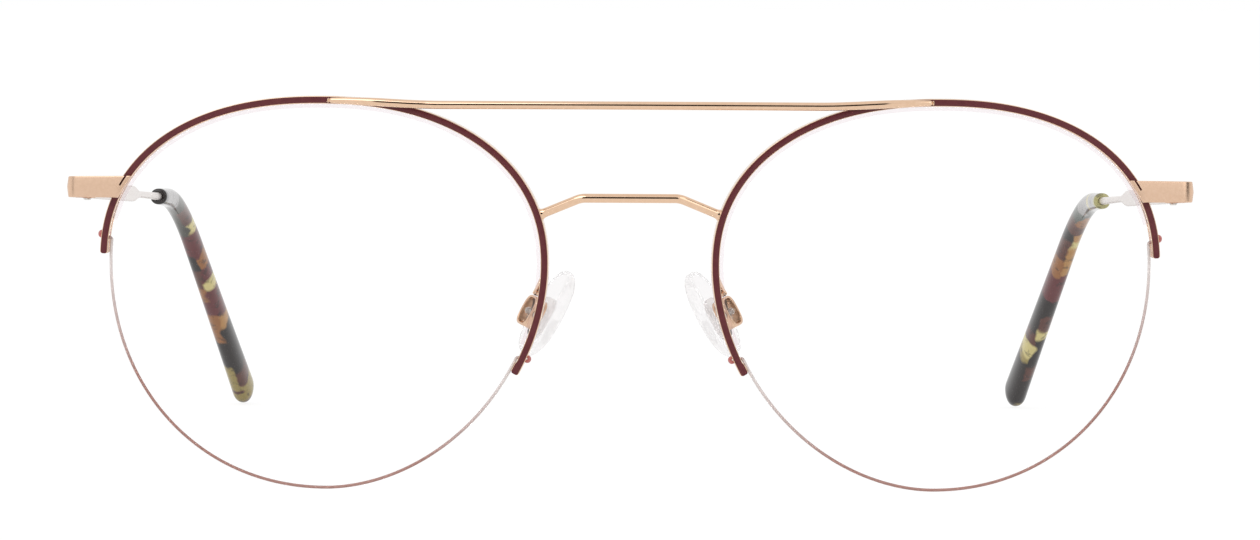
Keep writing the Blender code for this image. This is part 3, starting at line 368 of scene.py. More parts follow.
def oval(half_a, half_b, power, count):
    """Superellipse: |a / half_a| to the power, plus |b / half_b| to the power, is 1."""
    angle = np.linspace(0, 2 * np.pi, count, endpoint=False)
    cos, sin = np.cos(angle), np.sin(angle)
    half_a, half_b, power = (np.asarray(v, float)[..., None] for v in (half_a, half_b, power))
    a = half_a * np.sign(cos) * np.abs(cos) ** (2 / power)
    b = half_b * np.sign(sin) * np.abs(sin) ** (2 / power)
    return np.stack([a, b], axis=-1)


def swept(path, stations, width, height=None, power=2, sides=32, up=(0, 0, 1)):
    """Superellipses of these half sizes, each set square to the path at its own station."""
    points, directions = path_at(path, stations)
    rings = oval(width, width if height is None else height, power, sides)
    side = unit(np.cross(directions, up))
    rise = np.cross(side, directions)
    return points[:, None] + rings[..., :1] * side[:, None] + rings[..., 1:] * rise[:, None]


def smooth(share):
    """Smooth step: three times the square of the share, less twice its cube."""
    return share * share * (3 - 2 * share)


def round_ends(length, inner, start_round, end_round, steps=6):
    """Stations along a wire and the share of its width at each: a quarter circle at both ends.

    The circles' stations start or stop inside the wire, so the skin lies double there."""
    angle = np.linspace(0.12, np.pi / 2, steps)
    head = start_round * (1 - np.sin(angle))
    tail = length - end_round * (1 - np.sin(angle[::-1]))
    middle = np.linspace(start_round, length - end_round, inner)[1:-1]
    reach = np.concatenate([head / start_round, (length - tail) / end_round])
    ends = np.sqrt(np.clip(1 - (1 - reach) ** 2, 0.02, 1))
    shares = np.concatenate([ends[:steps], np.ones(len(middle)), ends[steps:]])
    return np.concatenate([head, middle, tail]), shares


# Making the pieces


def skin_mesh(name, rings, side):
    """Closed skin through a row of rings, brought from the wearing frame to the part's frame.

    Quads join neighbours and a fan closes each end. The signed volume, which is the sum of the
    triangles' corner determinants, tells whether the faces have to be turned outward."""
    rings = np.asarray(rings, float)
    rows, count = rings.shape[:2]
    row = np.arange(rows - 1)[:, None] * count
    below = row + count
    here, following = np.arange(count), np.roll(np.arange(count), -1)
    quads = np.stack([row + here, row + following, below + following, below + here], axis=-1)
    quads = quads.reshape(-1, 4)
    first, last, end = rows * count, rows * count + 1, (rows - 1) * count
    start_fan = np.stack([following, here, np.full(count, first)], axis=-1)
    end_fan = np.stack([end + here, end + following, np.full(count, last)], axis=-1)
    fans = np.concatenate([start_fan, end_fan])
    points = np.concatenate([rings.reshape(-1, 3), rings[[0, -1]].mean(axis=1)])
    points = points * np.array([side, 1, 1])
    triangles = np.concatenate([quads[:, :3], quads[:, [0, 2, 3]], fans])
    a, b, c = (points - points.mean(axis=0))[triangles.T]
    if (a * np.cross(b, c)).sum() <= 0:
        quads, fans = quads[:, ::-1], fans[:, ::-1]
    points = points @ REST_TURN.T + REST_SHIFT
    mesh = bpy.data.meshes.new(name)
    mesh.from_pydata(points.tolist(), [], quads.tolist() + fans.tolist())
    mesh.validate()
    return mesh


def linked(name, data):
    made = bpy.data.objects.new(name, data)
    bpy.context.scene.collection.objects.link(made)
    return made


def paint(mesh, material):
    mesh.materials.clear()
    mesh.materials.append(material)


def add_piece(name, rings, body, cad, material, side=1, cuts=(), marks=()):
    """One piece from a closed skin in the wearing frame, on its body and for its CAD node. Cuts
    are skins that exact Booleans take out of it, and marks are values for its points."""
    mesh = skin_mesh(name, rings, side)
    if cuts:
        things = [linked("tool", skin_mesh("tool", skin, side)) for skin in cuts]
        things.append(linked(name, mesh))
        for tool in things[:-1]:
            modifier = things[-1].modifiers.new("cut", "BOOLEAN")
            modifier.operation, modifier.solver, modifier.object = "DIFFERENCE", "EXACT", tool
        graph = bpy.context.evaluated_depsgraph_get()
        mesh = bpy.data.meshes.new_from_object(things[-1].evaluated_get(graph))
        for used in things:
            bpy.data.objects.remove(used)
    for mark, values in dict(marks).items():
        attribute = mesh.attributes.new(mark, "FLOAT", "POINT")
        attribute.data.foreach_set("value", np.asarray(values, np.float32))
    mesh.shade_smooth()
    mesh.set_sharp_from_angle(angle=CREASE)
    paint(mesh, material)
    piece = linked(name, mesh)
    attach(piece, body)
    if cad:
        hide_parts(cad)


# The lens plane


def lens_outline(angles, offset=0.0):
    """Four superellipse quarters, moved out square to the edge; angle 0 is temporal."""
    cos, sin = np.cos(angles), np.sin(angles)
    half_x = np.where(cos > 0, LENS_HALF_TEMPORAL, LENS_HALF_NASAL)
    half_z = np.where(sin > 0, LENS_HALF_UPPER, LENS_HALF_LOWER)
    upper = np.where(cos > 0, POWER_TEMPORAL_UPPER, POWER_NASAL_UPPER)
    lower = np.where(cos > 0, POWER_TEMPORAL_LOWER, POWER_NASAL_LOWER)
    power = np.where(sin > 0, upper, lower)
    radius = (np.abs(cos / half_x) ** power + np.abs(sin / half_z) ** power) ** (-1 / power)
    x, z = radius * cos, radius * sin
    normal_x = np.sign(x) * np.abs(x / half_x) ** (power - 1) / half_x
    normal_z = np.sign(z) * np.abs(z / half_z) ** (power - 1) / half_z
    length = np.hypot(normal_x, normal_z)
    return x + offset * normal_x / length, z + offset * normal_z / length


def lens_sag(x, z):
    """How far the lens's front sphere lies behind its middle."""
    return LENS_BASE_RADIUS - np.sqrt(LENS_BASE_RADIUS**2 - x**2 - z**2)


def edge_points(angles, offset, depth):
    """Points by the lens edge: offset outward, and depth back from the lens's mid thickness."""
    angles, offset, depth = np.broadcast_arrays(angles, offset, depth)
    edge_x, edge_z = lens_outline(angles)
    x, z = lens_outline(angles, offset)
    return np.stack([x, lens_sag(edge_x, edge_z) + LENS_THICKNESS / 2 + depth, z], axis=-1)


def at_edge(angles, offset, depth):
    """Points by the lens edge, in the wearing frame."""
    return lens_to_wearing(edge_points(angles, offset, depth))


def along_edge(angle, distance):
    """The outline angle reached by going this distance along the edge."""
    x, z = lens_outline(np.array(angle, float))
    return angle + distance / np.hypot(x, z)


def angle_at_height(height, nasal):
    """Outline angle where the edge has this height, on the nasal or the temporal side."""
    low, high = (0.5 * np.pi, 1.5 * np.pi) if nasal else (-0.5 * np.pi, 0.5 * np.pi)
    angles = np.linspace(low, high, 4001)
    z = lens_outline(angles)[1]
    order = np.argsort(z)
    return np.interp(height, z[order], angles[order])


def end_line():
    """x and y of the endpiece's inner end, which lies on the rim, and of its outer corner."""
    heights = END_LEVEL + END_HEIGHT * np.array([-0.5, 0, 0.5])
    seat = at_edge(angle_at_height(heights, nasal=False), RIM_MIDDLE, -RIM_DEPTH / 2)
    slope = math.tan(END_SLOPE)
    inner_x = seat[1, 0] - END_OVERLAP
    inner_y = seat[:, 1].min() - FIT - END_THICKNESS / 2 - END_OVERLAP * slope
    corner_x = END_OUTER - END_THICKNESS / 2
    return (inner_x, inner_y), (corner_x, inner_y + (corner_x - inner_x) * slope)


def hinge_axis():
    """x and y of the hinge screw's axis."""
    return END_OUTER - END_THICKNESS - FIT - HINGE_BARREL, end_line()[1][1] + HINGE_SETBACK


# From the wearing frame to the part's frame
REST_HINGE = next(joint for joint in frame["joints"] if joint["name"] == "temple_hinge_left")
REST_TURN = turn("x", -math.atan2(REST_HINGE["axis"][1], REST_HINGE["axis"][2]))
REST_SHIFT = np.array(REST_HINGE["pos_m"]) - REST_TURN @ np.array([*hinge_axis(), END_LEVEL])


# Materials


def linear(colour):
    """sRGB hex as linear red, green, blue and alpha."""
    channels = np.array([int(colour[i : i + 2], 16) / 255 for i in (0, 2, 4)])
    low, high = channels / 12.92, ((channels + 0.055) / 1.055) ** 2.4
    return (*np.where(channels <= 0.04045, low, high).tolist(), 1.0)


def join(tree, source, socket):
    """Links an output, or a node's first output, to a socket."""
    tree.links.new(getattr(source, "outputs", [source])[0], socket)


def node(tree, kind, settings=None, **links):
    """Adds a node. Settings set its sockets or its own properties, links join its sockets."""
    made = tree.nodes.new("ShaderNode" + kind)
    for key, value in (settings or {}).items():
        if key == "stops":
            elements = made.color_ramp.elements
            for _ in value[2:]:
                elements.new(0.5)
            for element, (place, colour) in zip(elements, value):
                element.position, element.color = place, linear(colour)
        elif isinstance(key, int) or key in made.inputs:
            made.inputs[key].default_value = value
        else:
            setattr(made, key, value)
    for key, source in links.items():
        join(tree, source, made.inputs[int(key[1:]) if key[0] == "_" else key])
    return made


def finish(name, colours, grain, relief, gloss=None, stretch=(1, 1, 1), **uniform):
    """Material whose colour, roughness and relief follow one noise with spots of a real size.

    Colours and gloss are the low and high colour and roughness, grain is the size of a spot and
    relief its height, in millimetres, and stretch divides its length along each axis. Without
    colours the caller links the base colour."""
    material = bpy.data.materials.new(name)
    material.use_nodes = True
    tree = material.node_tree
    shader = tree.nodes["Principled BSDF"]
    for key, value in uniform.items():
        shader.inputs[key.replace("_", " ")].default_value = value
    place = node(tree, "TexCoord").outputs["Object"]
    mapped = node(tree, "Mapping", {"Scale": stretch}, Vector=place)
    spots = node(tree, "TexNoise", {"Scale": 1 / (grain * MM), "Detail": 3.0}, Vector=mapped)
    if colours:
        cloud = node(tree, "ValToRGB", {"stops": tuple(zip(SPOT_RANGE, colours))}, Fac=spots)
        join(tree, cloud, shader.inputs["Base Color"])
    bump = node(tree, "Bump", {"Strength": 1.0, "Distance": relief * MM}, Height=spots)
    join(tree, bump, shader.inputs["Normal"])
    if gloss:
        spread = node(tree, "MapRange", {"To Min": gloss[0], "To Max": gloss[1]}, Value=spots)
        join(tree, spread, shader.inputs["Roughness"])
    return material


def clear_plastic(
    name, colours, face_on, grazing, grain, relief, tint="FFFFFF", curve="Facing", **uniform
):
    """Clear moulding: part of the light goes straight through, the rest bends and glints.

    Face on and grazing give the share that goes straight through, so that a low-glare piece
    hides its face and shows its edges. Shadows pass it as they pass real clear plastic."""
    uniform = {"Transmission_Weight": 1.0, **uniform}
    material = finish(name, colours, grain, relief, **uniform)
    tree = material.node_tree
    blend, start = LOOK_CURVES[curve]
    look = node(tree, "LayerWeight", {"Blend": blend}).outputs[curve]
    span = {"From Min": start, "To Min": face_on, "To Max": grazing}
    share = node(tree, "MapRange", span, Value=look)
    shadow = node(tree, "LightPath").outputs["Is Shadow Ray"]
    straight = node(tree, "Math", {"operation": "MAXIMUM"}, _0=shadow, _1=share)
    gap = node(tree, "BsdfTransparent", {"Color": linear(tint)})
    mix = node(tree, "MixShader", _0=straight, _1=tree.nodes["Principled BSDF"], _2=gap)
    join(tree, mix, tree.nodes["Material Output"].inputs["Surface"])
    return material


def dyed_nylon_painted_pale(name, shades):
    """Drawn nylon line: painted pale beside the lens, a painted light, rose under it, deepest
    where it loops.
    """
    material = clear_plastic(
        name, None, 0.05, 0.2, 0.6, 0.0008, "F6ECEA", IOR=1.53, Roughness=0.3,
        Transmission_Weight=0.1,
    )
    tree = material.node_tree
    # The palest shade, beside the rim ends, is painted light
    dye = node(tree, "Attribute", {"attribute_name": "dye"}).outputs["Fac"]
    shade = node(tree, "ValToRGB", {"stops": tuple(zip((0.0, 0.5, 1.0), shades))}, Fac=dye)
    join(tree, shade, tree.nodes["Principled BSDF"].inputs["Base Color"])
    return material


def chip_stops(chips):
    """Ramp stops of a row of chips, each from the end of the one before to its own end in mm."""
    stops, start = [], 0.0
    for chip in chips.split(", "):
        end, colour = chip.split()
        end = float(end)
        soft = min(CHIP_SOFTNESS, 0.3 * (end - start))
        ends = (start + soft, end - soft)
        stops += [((at * MM) / TIP_LENGTH, CHIP_COLOURS[colour]) for at in ends]
        start = end
    return stops


def tortoise_acetate(name, nose_chips, outer_chips):
    """Cast cellulose acetate cut from a mottled block and tumbled to a soft polish.

    One row of chips lies along the tip's nose side and one along its outer side. A wide noise
    bends their outlines, as the block's swirls do, and a fine one speckles them with brown. The
    light grey chips near the mouth are not acetate but a painted reflection of the bend's glossy
    top."""
    material = finish(name, None, 1.2, 0.001, IOR=1.48, Roughness=0.1, Specular_IOR_Level=0.45)
    tree = material.node_tree
    place = node(tree, "TexCoord").outputs["Object"]
    swirl = node(tree, "TexNoise", {"Scale": 1 / CHIP_SWIRL, "Detail": 2.0}, Vector=place)
    swirls = node(tree, "SeparateColor", _0=swirl.outputs["Color"]).outputs
    shifted = []
    for mark, limit, part in (("along", CHIP_SWAY / TIP_LENGTH, "Red"), ("across", 1.0, "Green")):
        where = node(tree, "Attribute", {"attribute_name": mark}).outputs["Fac"]
        shift = node(tree, "MapRange", {"To Min": -limit, "To Max": limit}, Value=swirls[part])
        shifted.append(node(tree, "Math", {"operation": "ADD"}, _0=where, _1=shift))
    nose, outer = (
        node(tree, "ValToRGB", {"stops": chip_stops(chips)}, Fac=shifted[0])
        for chips in (nose_chips, outer_chips)
    )
    span = {"From Min": -CHIP_BLEND, "From Max": CHIP_BLEND}
    border = node(tree, "MapRange", span, Value=shifted[1])
    joined = node(tree, "Mix", {"data_type": "RGBA"}, _0=border, _6=nose, _7=outer).outputs[2]
    fleck = node(tree, "TexNoise", {"Scale": 1 / FLECK, "Detail": 2.0}, Vector=place)
    speck = node(tree, "MapRange", FLECK_RANGE, Value=fleck)
    brown = {"data_type": "RGBA", 7: linear(CHIP_COLOURS["dark"])}
    mottled = node(tree, "Mix", brown, _0=speck, _6=joined).outputs[2]
    join(tree, mottled, tree.nodes["Principled BSDF"].inputs["Base Color"])
    return material


# Electroplate polished bright: wires that draw a crisp dark line between two light ones
ROSE_GOLD = finish(
    "polished_rose_gold", ("DFBD9F", "E5C4A8"), 0.5, 0.0001, (0.06, 0.1), Metallic=1.0
)
# The same plate on the endpieces, left satin: soft even tone
SATIN_GOLD = finish(
    "satin_rose_gold", ("DCBA9F", "E2C1A7"), 0.35, 0.0006, (0.26, 0.34), Metallic=1.0
)
# Turned and polished screw steel: bright and a little grey
STEEL = finish("bright_screw_steel", ("D4CFCA", "E2DEDA"), 0.3, 0.002, (0.25, 0.36), Metallic=1.0)
# Brushed nickel silver: satin, with hair lines along the temple, which runs along y
SILVER = finish(
    "satin_nickel_silver", ("DED6D2", "EEE8E5"), 0.09, 0.001, (0.26, 0.36),
    stretch=(1, 0.03, 1), Metallic=1.0,
)
# Cold enamel poured into the rim's tray: deep even colour under a smooth skin, faintly wavy
ENAMEL = finish(
    "burgundy_enamel", ("60252B", "6A2F32"), 0.8, 0.006, Roughness=0.3, IOR=1.5,
    Specular_IOR_Level=0.3,
)
# Cast optical resin, ground, polished and coated against glare: only its edge shows
LENS = clear_plastic(
    "clear_lens_resin", ("FCFCFC", "FFFFFF"), 1.0, 0.88, 8, 0.0002, curve="Fresnel",
    IOR=1.498, Roughness=0.0,
)
# Nylon fishing line, dyed rose, with painted light: pale near the rim ends, where it stands
# against the light
CORD = dyed_nylon_painted_pale("rose_nylon", ("F7EFEC", "BA8C82", "D98480"))
# Extruded clear nylon strip: only a pale edge shows beside the rim
LINER = clear_plastic(
    "pale_nylon", ("F8F2F5", "FDFAFB"), 0.95, 0.88, 0.6, 0.001, "FDFAFB", IOR=1.53,
    Roughness=0.3, Transmission_Weight=0.3,
)
# Moulded clear silicone: soft, slightly hazy
SILICONE = clear_plastic(
    "clear_silicone", ("F4F2F3", "FAF9F9"), 0.93, 0.6, 1.5, 0.002, "FBFAFA", IOR=1.41,
    Roughness=0.12,
)
# Moulded polycarbonate insert inside the silicone
INSERT = clear_plastic(
    "clear_insert_plastic", ("F6F4F3", "FBFAFA"), 0.88, 0.7, 1.0, 0.002, "FBFAFA",
    IOR=1.58, Roughness=0.3, Transmission_Weight=0.2,
)
ACETATE = {
    side: tortoise_acetate(f"tortoise_acetate_{side}", *chips) for side, chips in TIP_CHIPS.items()
}


# Front


def lens_rings():
    """Sphere cap in front, grooved edge with small bevels, sphere cap behind."""
    angles = np.linspace(0, 2 * np.pi, 240, endpoint=False)
    edge_x, edge_z = lens_outline(angles)
    half, groove = LENS_THICKNESS / 2, GROOVE_WIDTH / 2
    shares = np.linspace(0.04, 1 - LENS_BEVEL / LENS_HALF_NASAL, 18)[:, None]
    x, z = shares * edge_x, shares * edge_z
    cap = np.stack([x, lens_sag(x, z), z], axis=-1)
    offset = np.array((LENS_TRIM, LENS_TRIM, GROOVE_DEPTH, GROOVE_DEPTH, LENS_TRIM, LENS_TRIM))
    depth = np.array((-half + LENS_BEVEL, -groove, -groove, groove, groove, half - LENS_BEVEL))
    edge = edge_points(angles, -offset[:, None], depth[:, None])
    back = cap[::-1] + np.array([0, LENS_THICKNESS, 0])
    return lens_to_wearing(np.concatenate([cap, edge, back]))


def rim_stations(setback=0.0):
    """Outline angles along the half rim, closer together at its ends, with two values at each:
    the share of its section, which falls in a quarter circle at the ends, and how far the front
    lip grows inward, in a smooth step at the nasal foot."""
    start = along_edge(RIM_TEMPORAL_END, setback)
    stop = along_edge(RIM_NASAL_END, -setback)
    near = RIM_END_ROUND * (1 - np.cos(np.linspace(0, np.pi / 2, 7)))
    foot = np.linspace(RIM_END_ROUND, 2 * RIM_FOOT_LENGTH, 14)[1:]
    edge = np.concatenate([near, foot])
    first, last = along_edge(start, edge), along_edge(stop, -edge[::-1])
    middle = np.linspace(first[-1], last[0], 260)[1:-1]
    angles = np.concatenate([first, middle, last])[:, None]
    from_end = np.concatenate([edge, np.full(len(middle), edge[-1]), edge[::-1]])[:, None]
    reach = np.clip(from_end / RIM_END_ROUND, 0, 1)
    shares = RIM_END_SHARE + (1 - RIM_END_SHARE) * np.sqrt(1 - (1 - reach) ** 2)
    rise = np.clip((RIM_FOOT_LENGTH - from_end) / (0.3 * RIM_FOOT_LENGTH) + 0.5, 0, 1)
    return angles, shares, np.where(angles > np.pi, RIM_FOOT_LIP * smooth(rise), 0)


def rim_rings():
    """Channel section, open to the lens, with a shallow tray for the enamel in its front."""
    half, slot = RIM_DEPTH / 2, RIM_CHANNEL_WIDTH / 2
    low, high, tray = FIT + RIM_LIP, RIM_OUTER - RIM_LIP, -half + RIM_TRAY
    channel = FIT + RIM_CHANNEL_DEPTH
    small, edge = RIM_CREASE, RIM_EDGE
    corners = np.array([
        (FIT, -slot, small), (FIT, -half, edge), (low, -half, edge), (low, tray, small),
        (high, tray, small), (high, -half, edge), (RIM_OUTER, -half, edge),
        (RIM_OUTER, half, RIM_ROUND), (FIT, half, RIM_ROUND), (FIT, slot, small),
        (channel, slot, small), (channel, -slot, small),
    ])
    profile = rounded(corners[:, :2], corners[:, 2], 4, closed=True)
    angles, shares, lip = rim_stations()
    middle = np.array([RIM_MIDDLE, 0])
    rings = middle + (profile - middle) * shares[..., None]
    front = np.clip((-0.9 * half - rings[..., 1]) / (0.08 * half), 0, 1)
    inner = np.clip((RIM_MIDDLE - rings[..., 0]) / (RIM_WIDTH / 2), 0, 1)
    return at_edge(angles, rings[..., 0] - lip * front * inner, rings[..., 1])


def enamel_rings():
    """Strip that fills the rim's tray, its front crowned like a shallow arch."""
    half_width = RIM_WIDTH / 2 - RIM_LIP
    share = np.linspace(-1, 1, 13)
    side = half_width * np.concatenate([share, share[::-4]])
    dome = -ENAMEL_DOME * (1 - share**2) - ENAMEL_PROUD
    level = np.concatenate([dome, np.full(4, RIM_TRAY - FIT / 5)])
    angles, shares, lip = rim_stations(ENAMEL_SETBACK)
    offset = RIM_MIDDLE + side * shares - lip * np.clip(-side / half_width, 0, 1)
    return at_edge(angles, offset, level - RIM_DEPTH / 2)


def cord_end(end, inward):
    """Outline angle where the cord leaves the groove near a rim end, and its path from there:
    out through one hole, over the rim in a half circle and in by the other."""
    outer = along_edge(end, inward * CORD_HOLE_SETBACK)
    inner = along_edge(end, inward * (CORD_HOLE_SETBACK + 2 * CORD_LOOP_RADIUS))
    bend, loop = np.linspace(0, np.pi / 2, 8), np.linspace(0, np.pi, 24)
    lead = along_edge(outer, -inward * CORD_BEND * (1 - np.sin(bend)))
    over = along_edge(outer, inward * CORD_LOOP_RADIUS * (1 - np.cos(loop)))
    rise = CORD_BEND * (1 - np.cos(bend)) - FIT - CORD_RADIUS
    arch = RIM_OUTER + FIT + CORD_LOOP_RADIUS * np.sin(loop)
    offset = np.concatenate([rise, arch, [0]])
    return lead[0], edge_points(np.concatenate([lead, over, [inner]]), offset, 0)


def cord_rings():
    """Round nylon carried round the lens groove and laced through both rim ends, with its dye and
    its painted pale stretches near the rim ends.
    """
    stop, temporal = cord_end(RIM_TEMPORAL_END, 1)
    start, nasal = cord_end(RIM_NASAL_END, -1)
    groove = edge_points(np.linspace(start, stop + 2 * np.pi, 400), -FIT - CORD_RADIUS, 0)
    path = np.concatenate([nasal[::-1], groove[1:-1], temporal])
    length = distances_along(path)[-1]
    stations, shares = round_ends(length, 700, CORD_RADIUS, CORD_RADIUS, 4)
    half_loop = np.pi * CORD_LOOP_RADIUS / 2
    from_end = np.minimum(stations, length - stations)
    from_loop = (from_end - RIM_OUTER - FIT - half_loop) / half_loop
    radius = CORD_RADIUS * shares * (1 + CORD_LOOP_SWELL * np.exp(-(from_loop**4)))
    laced = 2 * (RIM_OUTER + half_loop)
    # Painted light: pale for a stretch beside each rim end, fading back towards rose; the loops
    # take the deepest dye
    known = (0.8 * laced, 1.2 * laced, laced + CORD_PAINTED_PALE, laced + CORD_PAINTED_PALE + CORD_PAINTED_PALE_FADE)
    dye = np.repeat(np.interp(from_end, known, (1, 0, 0, 0.5)), CORD_SIDES)
    rings = swept(path, stations, radius, sides=CORD_SIDES, up=(0, 1, 0))
    return lens_to_wearing(rings), {"dye": np.append(dye, (1, 1))}


def bar_rings():
    """Round wire on the fronts of both rims, arched forward and down between them, tapered."""
    line = at_edge(np.radians(np.linspace(81, 144, 200)), RIM_MIDDLE, -RIM_DEPTH / 2)
    line_x, line_y, line_z = line[np.argsort(line[:, 0])].T
    x = np.linspace(-BAR_HALF_LENGTH, BAR_HALF_LENGTH, 321)
    reach = np.abs(x)
    taper = np.clip((BAR_HALF_LENGTH - reach) / BAR_TAPER, 0, 1)
    shares = BAR_END_SHARE + (1 - BAR_END_SHARE) * np.sin(taper * np.pi / 2)
    y = np.interp(np.maximum(reach, BAR_SEAT), line_x, line_y) - FIT - BAR_RADIUS * shares
    y -= BAR_ARCH * (1 - (np.minimum(reach, BAR_SEAT) / BAR_SEAT) ** 2)
    end_z = np.interp(BAR_HALF_LENGTH, line_x, line_z) - BAR_DROP
    fall = np.clip((BAR_HALF_LENGTH - reach) / (BAR_HALF_LENGTH - BAR_LEVEL_HALF), 0, 1)
    path = np.stack([x, y, end_z - BAR_DIP * smooth(fall)], axis=1)
    along = distances_along(path)
    end_round = BAR_END_SHARE * BAR_RADIUS
    stations, ends = round_ends(along[-1], 300, end_round, end_round)
    return swept(path, stations, BAR_RADIUS * np.interp(stations, along, shares) * ends)


def bridge_rings():
    """Round wire with two bends, flared like poured solder where it meets the rims."""
    angle = angle_at_height(BRIDGE_HEIGHT, nasal=True)
    end = at_edge(angle, RIM_OUTER - BRIDGE_OVERLAP, 0)
    level = np.array([BRIDGE_LEVEL_HALF, end[1] - BRIDGE_ARCH, end[2] + BRIDGE_RISE])
    mirror = np.array([-1, 1, 1])
    path = rounded([end * mirror, level * mirror, level, end], BRIDGE_BEND, 24, closed=False)
    length = distances_along(path)[-1]
    sunk = BRIDGE_OVERLAP - 2 * FIT
    flared = sunk + BRIDGE_FLARE_LENGTH
    stations = np.append(np.linspace(sunk, flared, 12), np.linspace(flared, length / 2, 60)[1:])
    stations = np.append(stations, (length - stations)[-2::-1])
    reach = np.minimum(stations, length - stations) - sunk
    flare = np.clip(1 - reach / BRIDGE_FLARE_LENGTH, 0, 1)
    return swept(path, stations, BRIDGE_RADIUS * (1 + (BRIDGE_FLARE_SHARE - 1) * flare**2))


def lens_reach(points):
    """How far points of the wearing frame lie from the left lens's middle, as a share of its
    edge's distance."""
    back = ((points - CENTRE - LEVEL) @ turn("x", FRONT_TILT) + LEVEL) @ turn("z", WRAP)
    x, z = lens_outline(np.linspace(-0.5 * np.pi, 0.5 * np.pi, 2001), FIT)
    edge = np.interp(np.arctan2(back[..., 2], back[..., 0]), np.arctan2(z, x), np.hypot(x, z))
    return np.hypot(back[..., 0], back[..., 2]) / edge


def endpiece_rings():
    """Rounded strip along its bent line. Its inner end starts where it leaves the lens's edge."""
    inner, corner = end_line()
    butt_y = hinge_axis()[1] - BUTT_GAP / 2
    bends = [(*inner, END_LEVEL), (*corner, END_LEVEL), (corner[0], butt_y, END_LEVEL)]
    path = rounded(bends, END_CORNER, 20, closed=False)
    along = distances_along(path)
    length, straight = along[-1], along[1]
    half = END_THICKNESS / 2

    def section(station, inset=0.0):
        """Strip lower toward the hinge; its outer face is crowned behind the corner."""
        height = (END_HEIGHT - END_HEIGHT_LOSS * station / length) / 2
        turned = np.clip((station - straight) / (np.pi / 2 * END_CORNER), 0, 1)
        crown = END_CROWN * np.interp(turned, (0.5, 1), (0.02, 1))
        x, z = half - inset, height - inset
        corners = ((x - crown, -z), (x, 0), (x - crown, z), (-x, z), (-x, -z))
        edge = max(END_ROUND - inset, 0.3 * END_ROUND)
        radii = [edge, 1.2 * height, edge, 0.6 * edge, 0.6 * edge]
        return rounded(corners, radii, 5, closed=True)

    def place(stations, profile):
        """The section's points, each at its own station, or all at one."""
        stations = np.broadcast_to(stations, (*np.shape(stations)[:-1], len(profile)))
        carried = path_at(path, stations.ravel())
        points, directions = (values.reshape(*stations.shape, 3) for values in carried)
        side = np.cross(directions, (0, 0, 1))
        return points + profile[:, :1] * side + profile[:, 1:] * np.array([0, 0, 1])

    quarter = np.linspace(0, np.pi / 2, 5)
    edge, inset = END_ROUND * (1 - np.cos(quarter)), END_ROUND * (1 - np.sin(quarter))
    trial = np.linspace(0, 0.9 * straight, 600)
    cut = trial[np.argmax(lens_reach(place(trial[:, None], section(0))) > 1, axis=0)]
    rings = [place(cut + start, section(0, shrink)) for start, shrink in zip(edge, inset)]
    for share in np.linspace(0, 1, 8)[1:]:
        stations = (cut + edge[-1]) * (1 - share) + 0.95 * straight * share
        rings.append(place(stations, section(stations.mean())))
    arm = np.linspace(along[-2], length - edge[-1], 5)[1:]
    rings += [place(station, section(station)) for station in (*along[1:-1], *arm)]
    for start, shrink in zip(edge[-2::-1], inset[-2::-1]):
        rings.append(place(length - start, section(length, shrink)))
    return np.array(rings)


def endpiece_slot():
    """Room of the narrow slot beside the rim, cut from the endpiece's front."""
    top = angle_at_height(END_LEVEL + END_HEIGHT / 2 - END_SLOT_INSET, nasal=False)
    angles = np.linspace(along_edge(top, -END_SLOT_LENGTH), top, 12)[:, None]
    inner = FIT + END_SLOT_MARGIN
    outer = inner + END_SLOT_WIDTH
    front = -RIM_DEPTH / 2 - 3 * END_THICKNESS
    return at_edge(angles, [inner, outer, outer, inner], [front, front, 0, 0])


# Temples


def temple_path():
    """Middle line of blade, wire and tip: back from the hinge, then down and inward."""
    outer_x, butt_y = END_OUTER - BLADE_THICKNESS / 2, hinge_axis()[1] + BUTT_GAP / 2
    corners = [
        (outer_x, butt_y, END_LEVEL),
        (outer_x, butt_y + HINGE_TEMPLE_LEAF_LENGTH + BLADE_TURN, END_LEVEL),
        (END_OUTER - TEMPLE_BEND_INSET, TEMPLE_BEND_SETBACK, END_LEVEL),
        (END_OUTER - TEMPLE_END_INSET, TEMPLE_END_SETBACK, END_LEVEL - TEMPLE_DROP),
    ]
    return rounded(corners, TEMPLE_BEND_RADIUS, 60, closed=False)


def temple_rings():
    """Rounded flat blade that draws in to a round wire; inside the tip it is the tip's core."""
    path = temple_path()
    core_end = distances_along(path)[-1] - CORE_END_GAP
    round_start = core_end - CORE_RADIUS
    blade_end = BLADE_LENGTH + BLADE_RUN_OUT
    edge = BLADE_EDGE * (1 - np.cos(np.linspace(0.1, np.pi / 2, 5)))
    blade = np.linspace(BLADE_EVEN_START, BLADE_DRAW_START, 60)
    drawn = np.linspace(BLADE_DRAW_START, blade_end, 32)[1:]
    core = np.linspace(blade_end, round_start, 120)[1:]
    end = core_end - CORE_RADIUS * (1 - np.sin(np.linspace(0, 1.5, 7)[1:]))
    stations = np.concatenate([edge, blade, drawn, core, end])
    height = np.interp(stations, (0, BLADE_LENGTH), (BLADE_HEIGHT / 2, BLADE_END_HEIGHT / 2))
    draw = smooth(np.clip((stations - BLADE_DRAW_START) / BLADE_DRAW_LENGTH, 0, 1))
    wire = np.interp(stations, (blade_end, TIP_START), (WIRE_RADIUS, CORE_RADIUS))
    height = height * (1 - draw) + wire * draw
    width = BLADE_THICKNESS / 2 * (1 - draw) + wire * draw
    power = BLADE_POWER * (1 - draw) + 2 * draw
    head = np.clip(stations / BLADE_EDGE, 0, 1)
    inset = BLADE_EDGE * (1 - np.sqrt(1 - (1 - head) ** 2))
    past = np.clip((stations - round_start) / CORE_RADIUS, 0, 1)
    tail = np.sqrt(np.clip(1 - past**2, 0.004, 1))
    return swept(path, stations, (width - inset) * tail, (height - inset) * tail, power, 48)


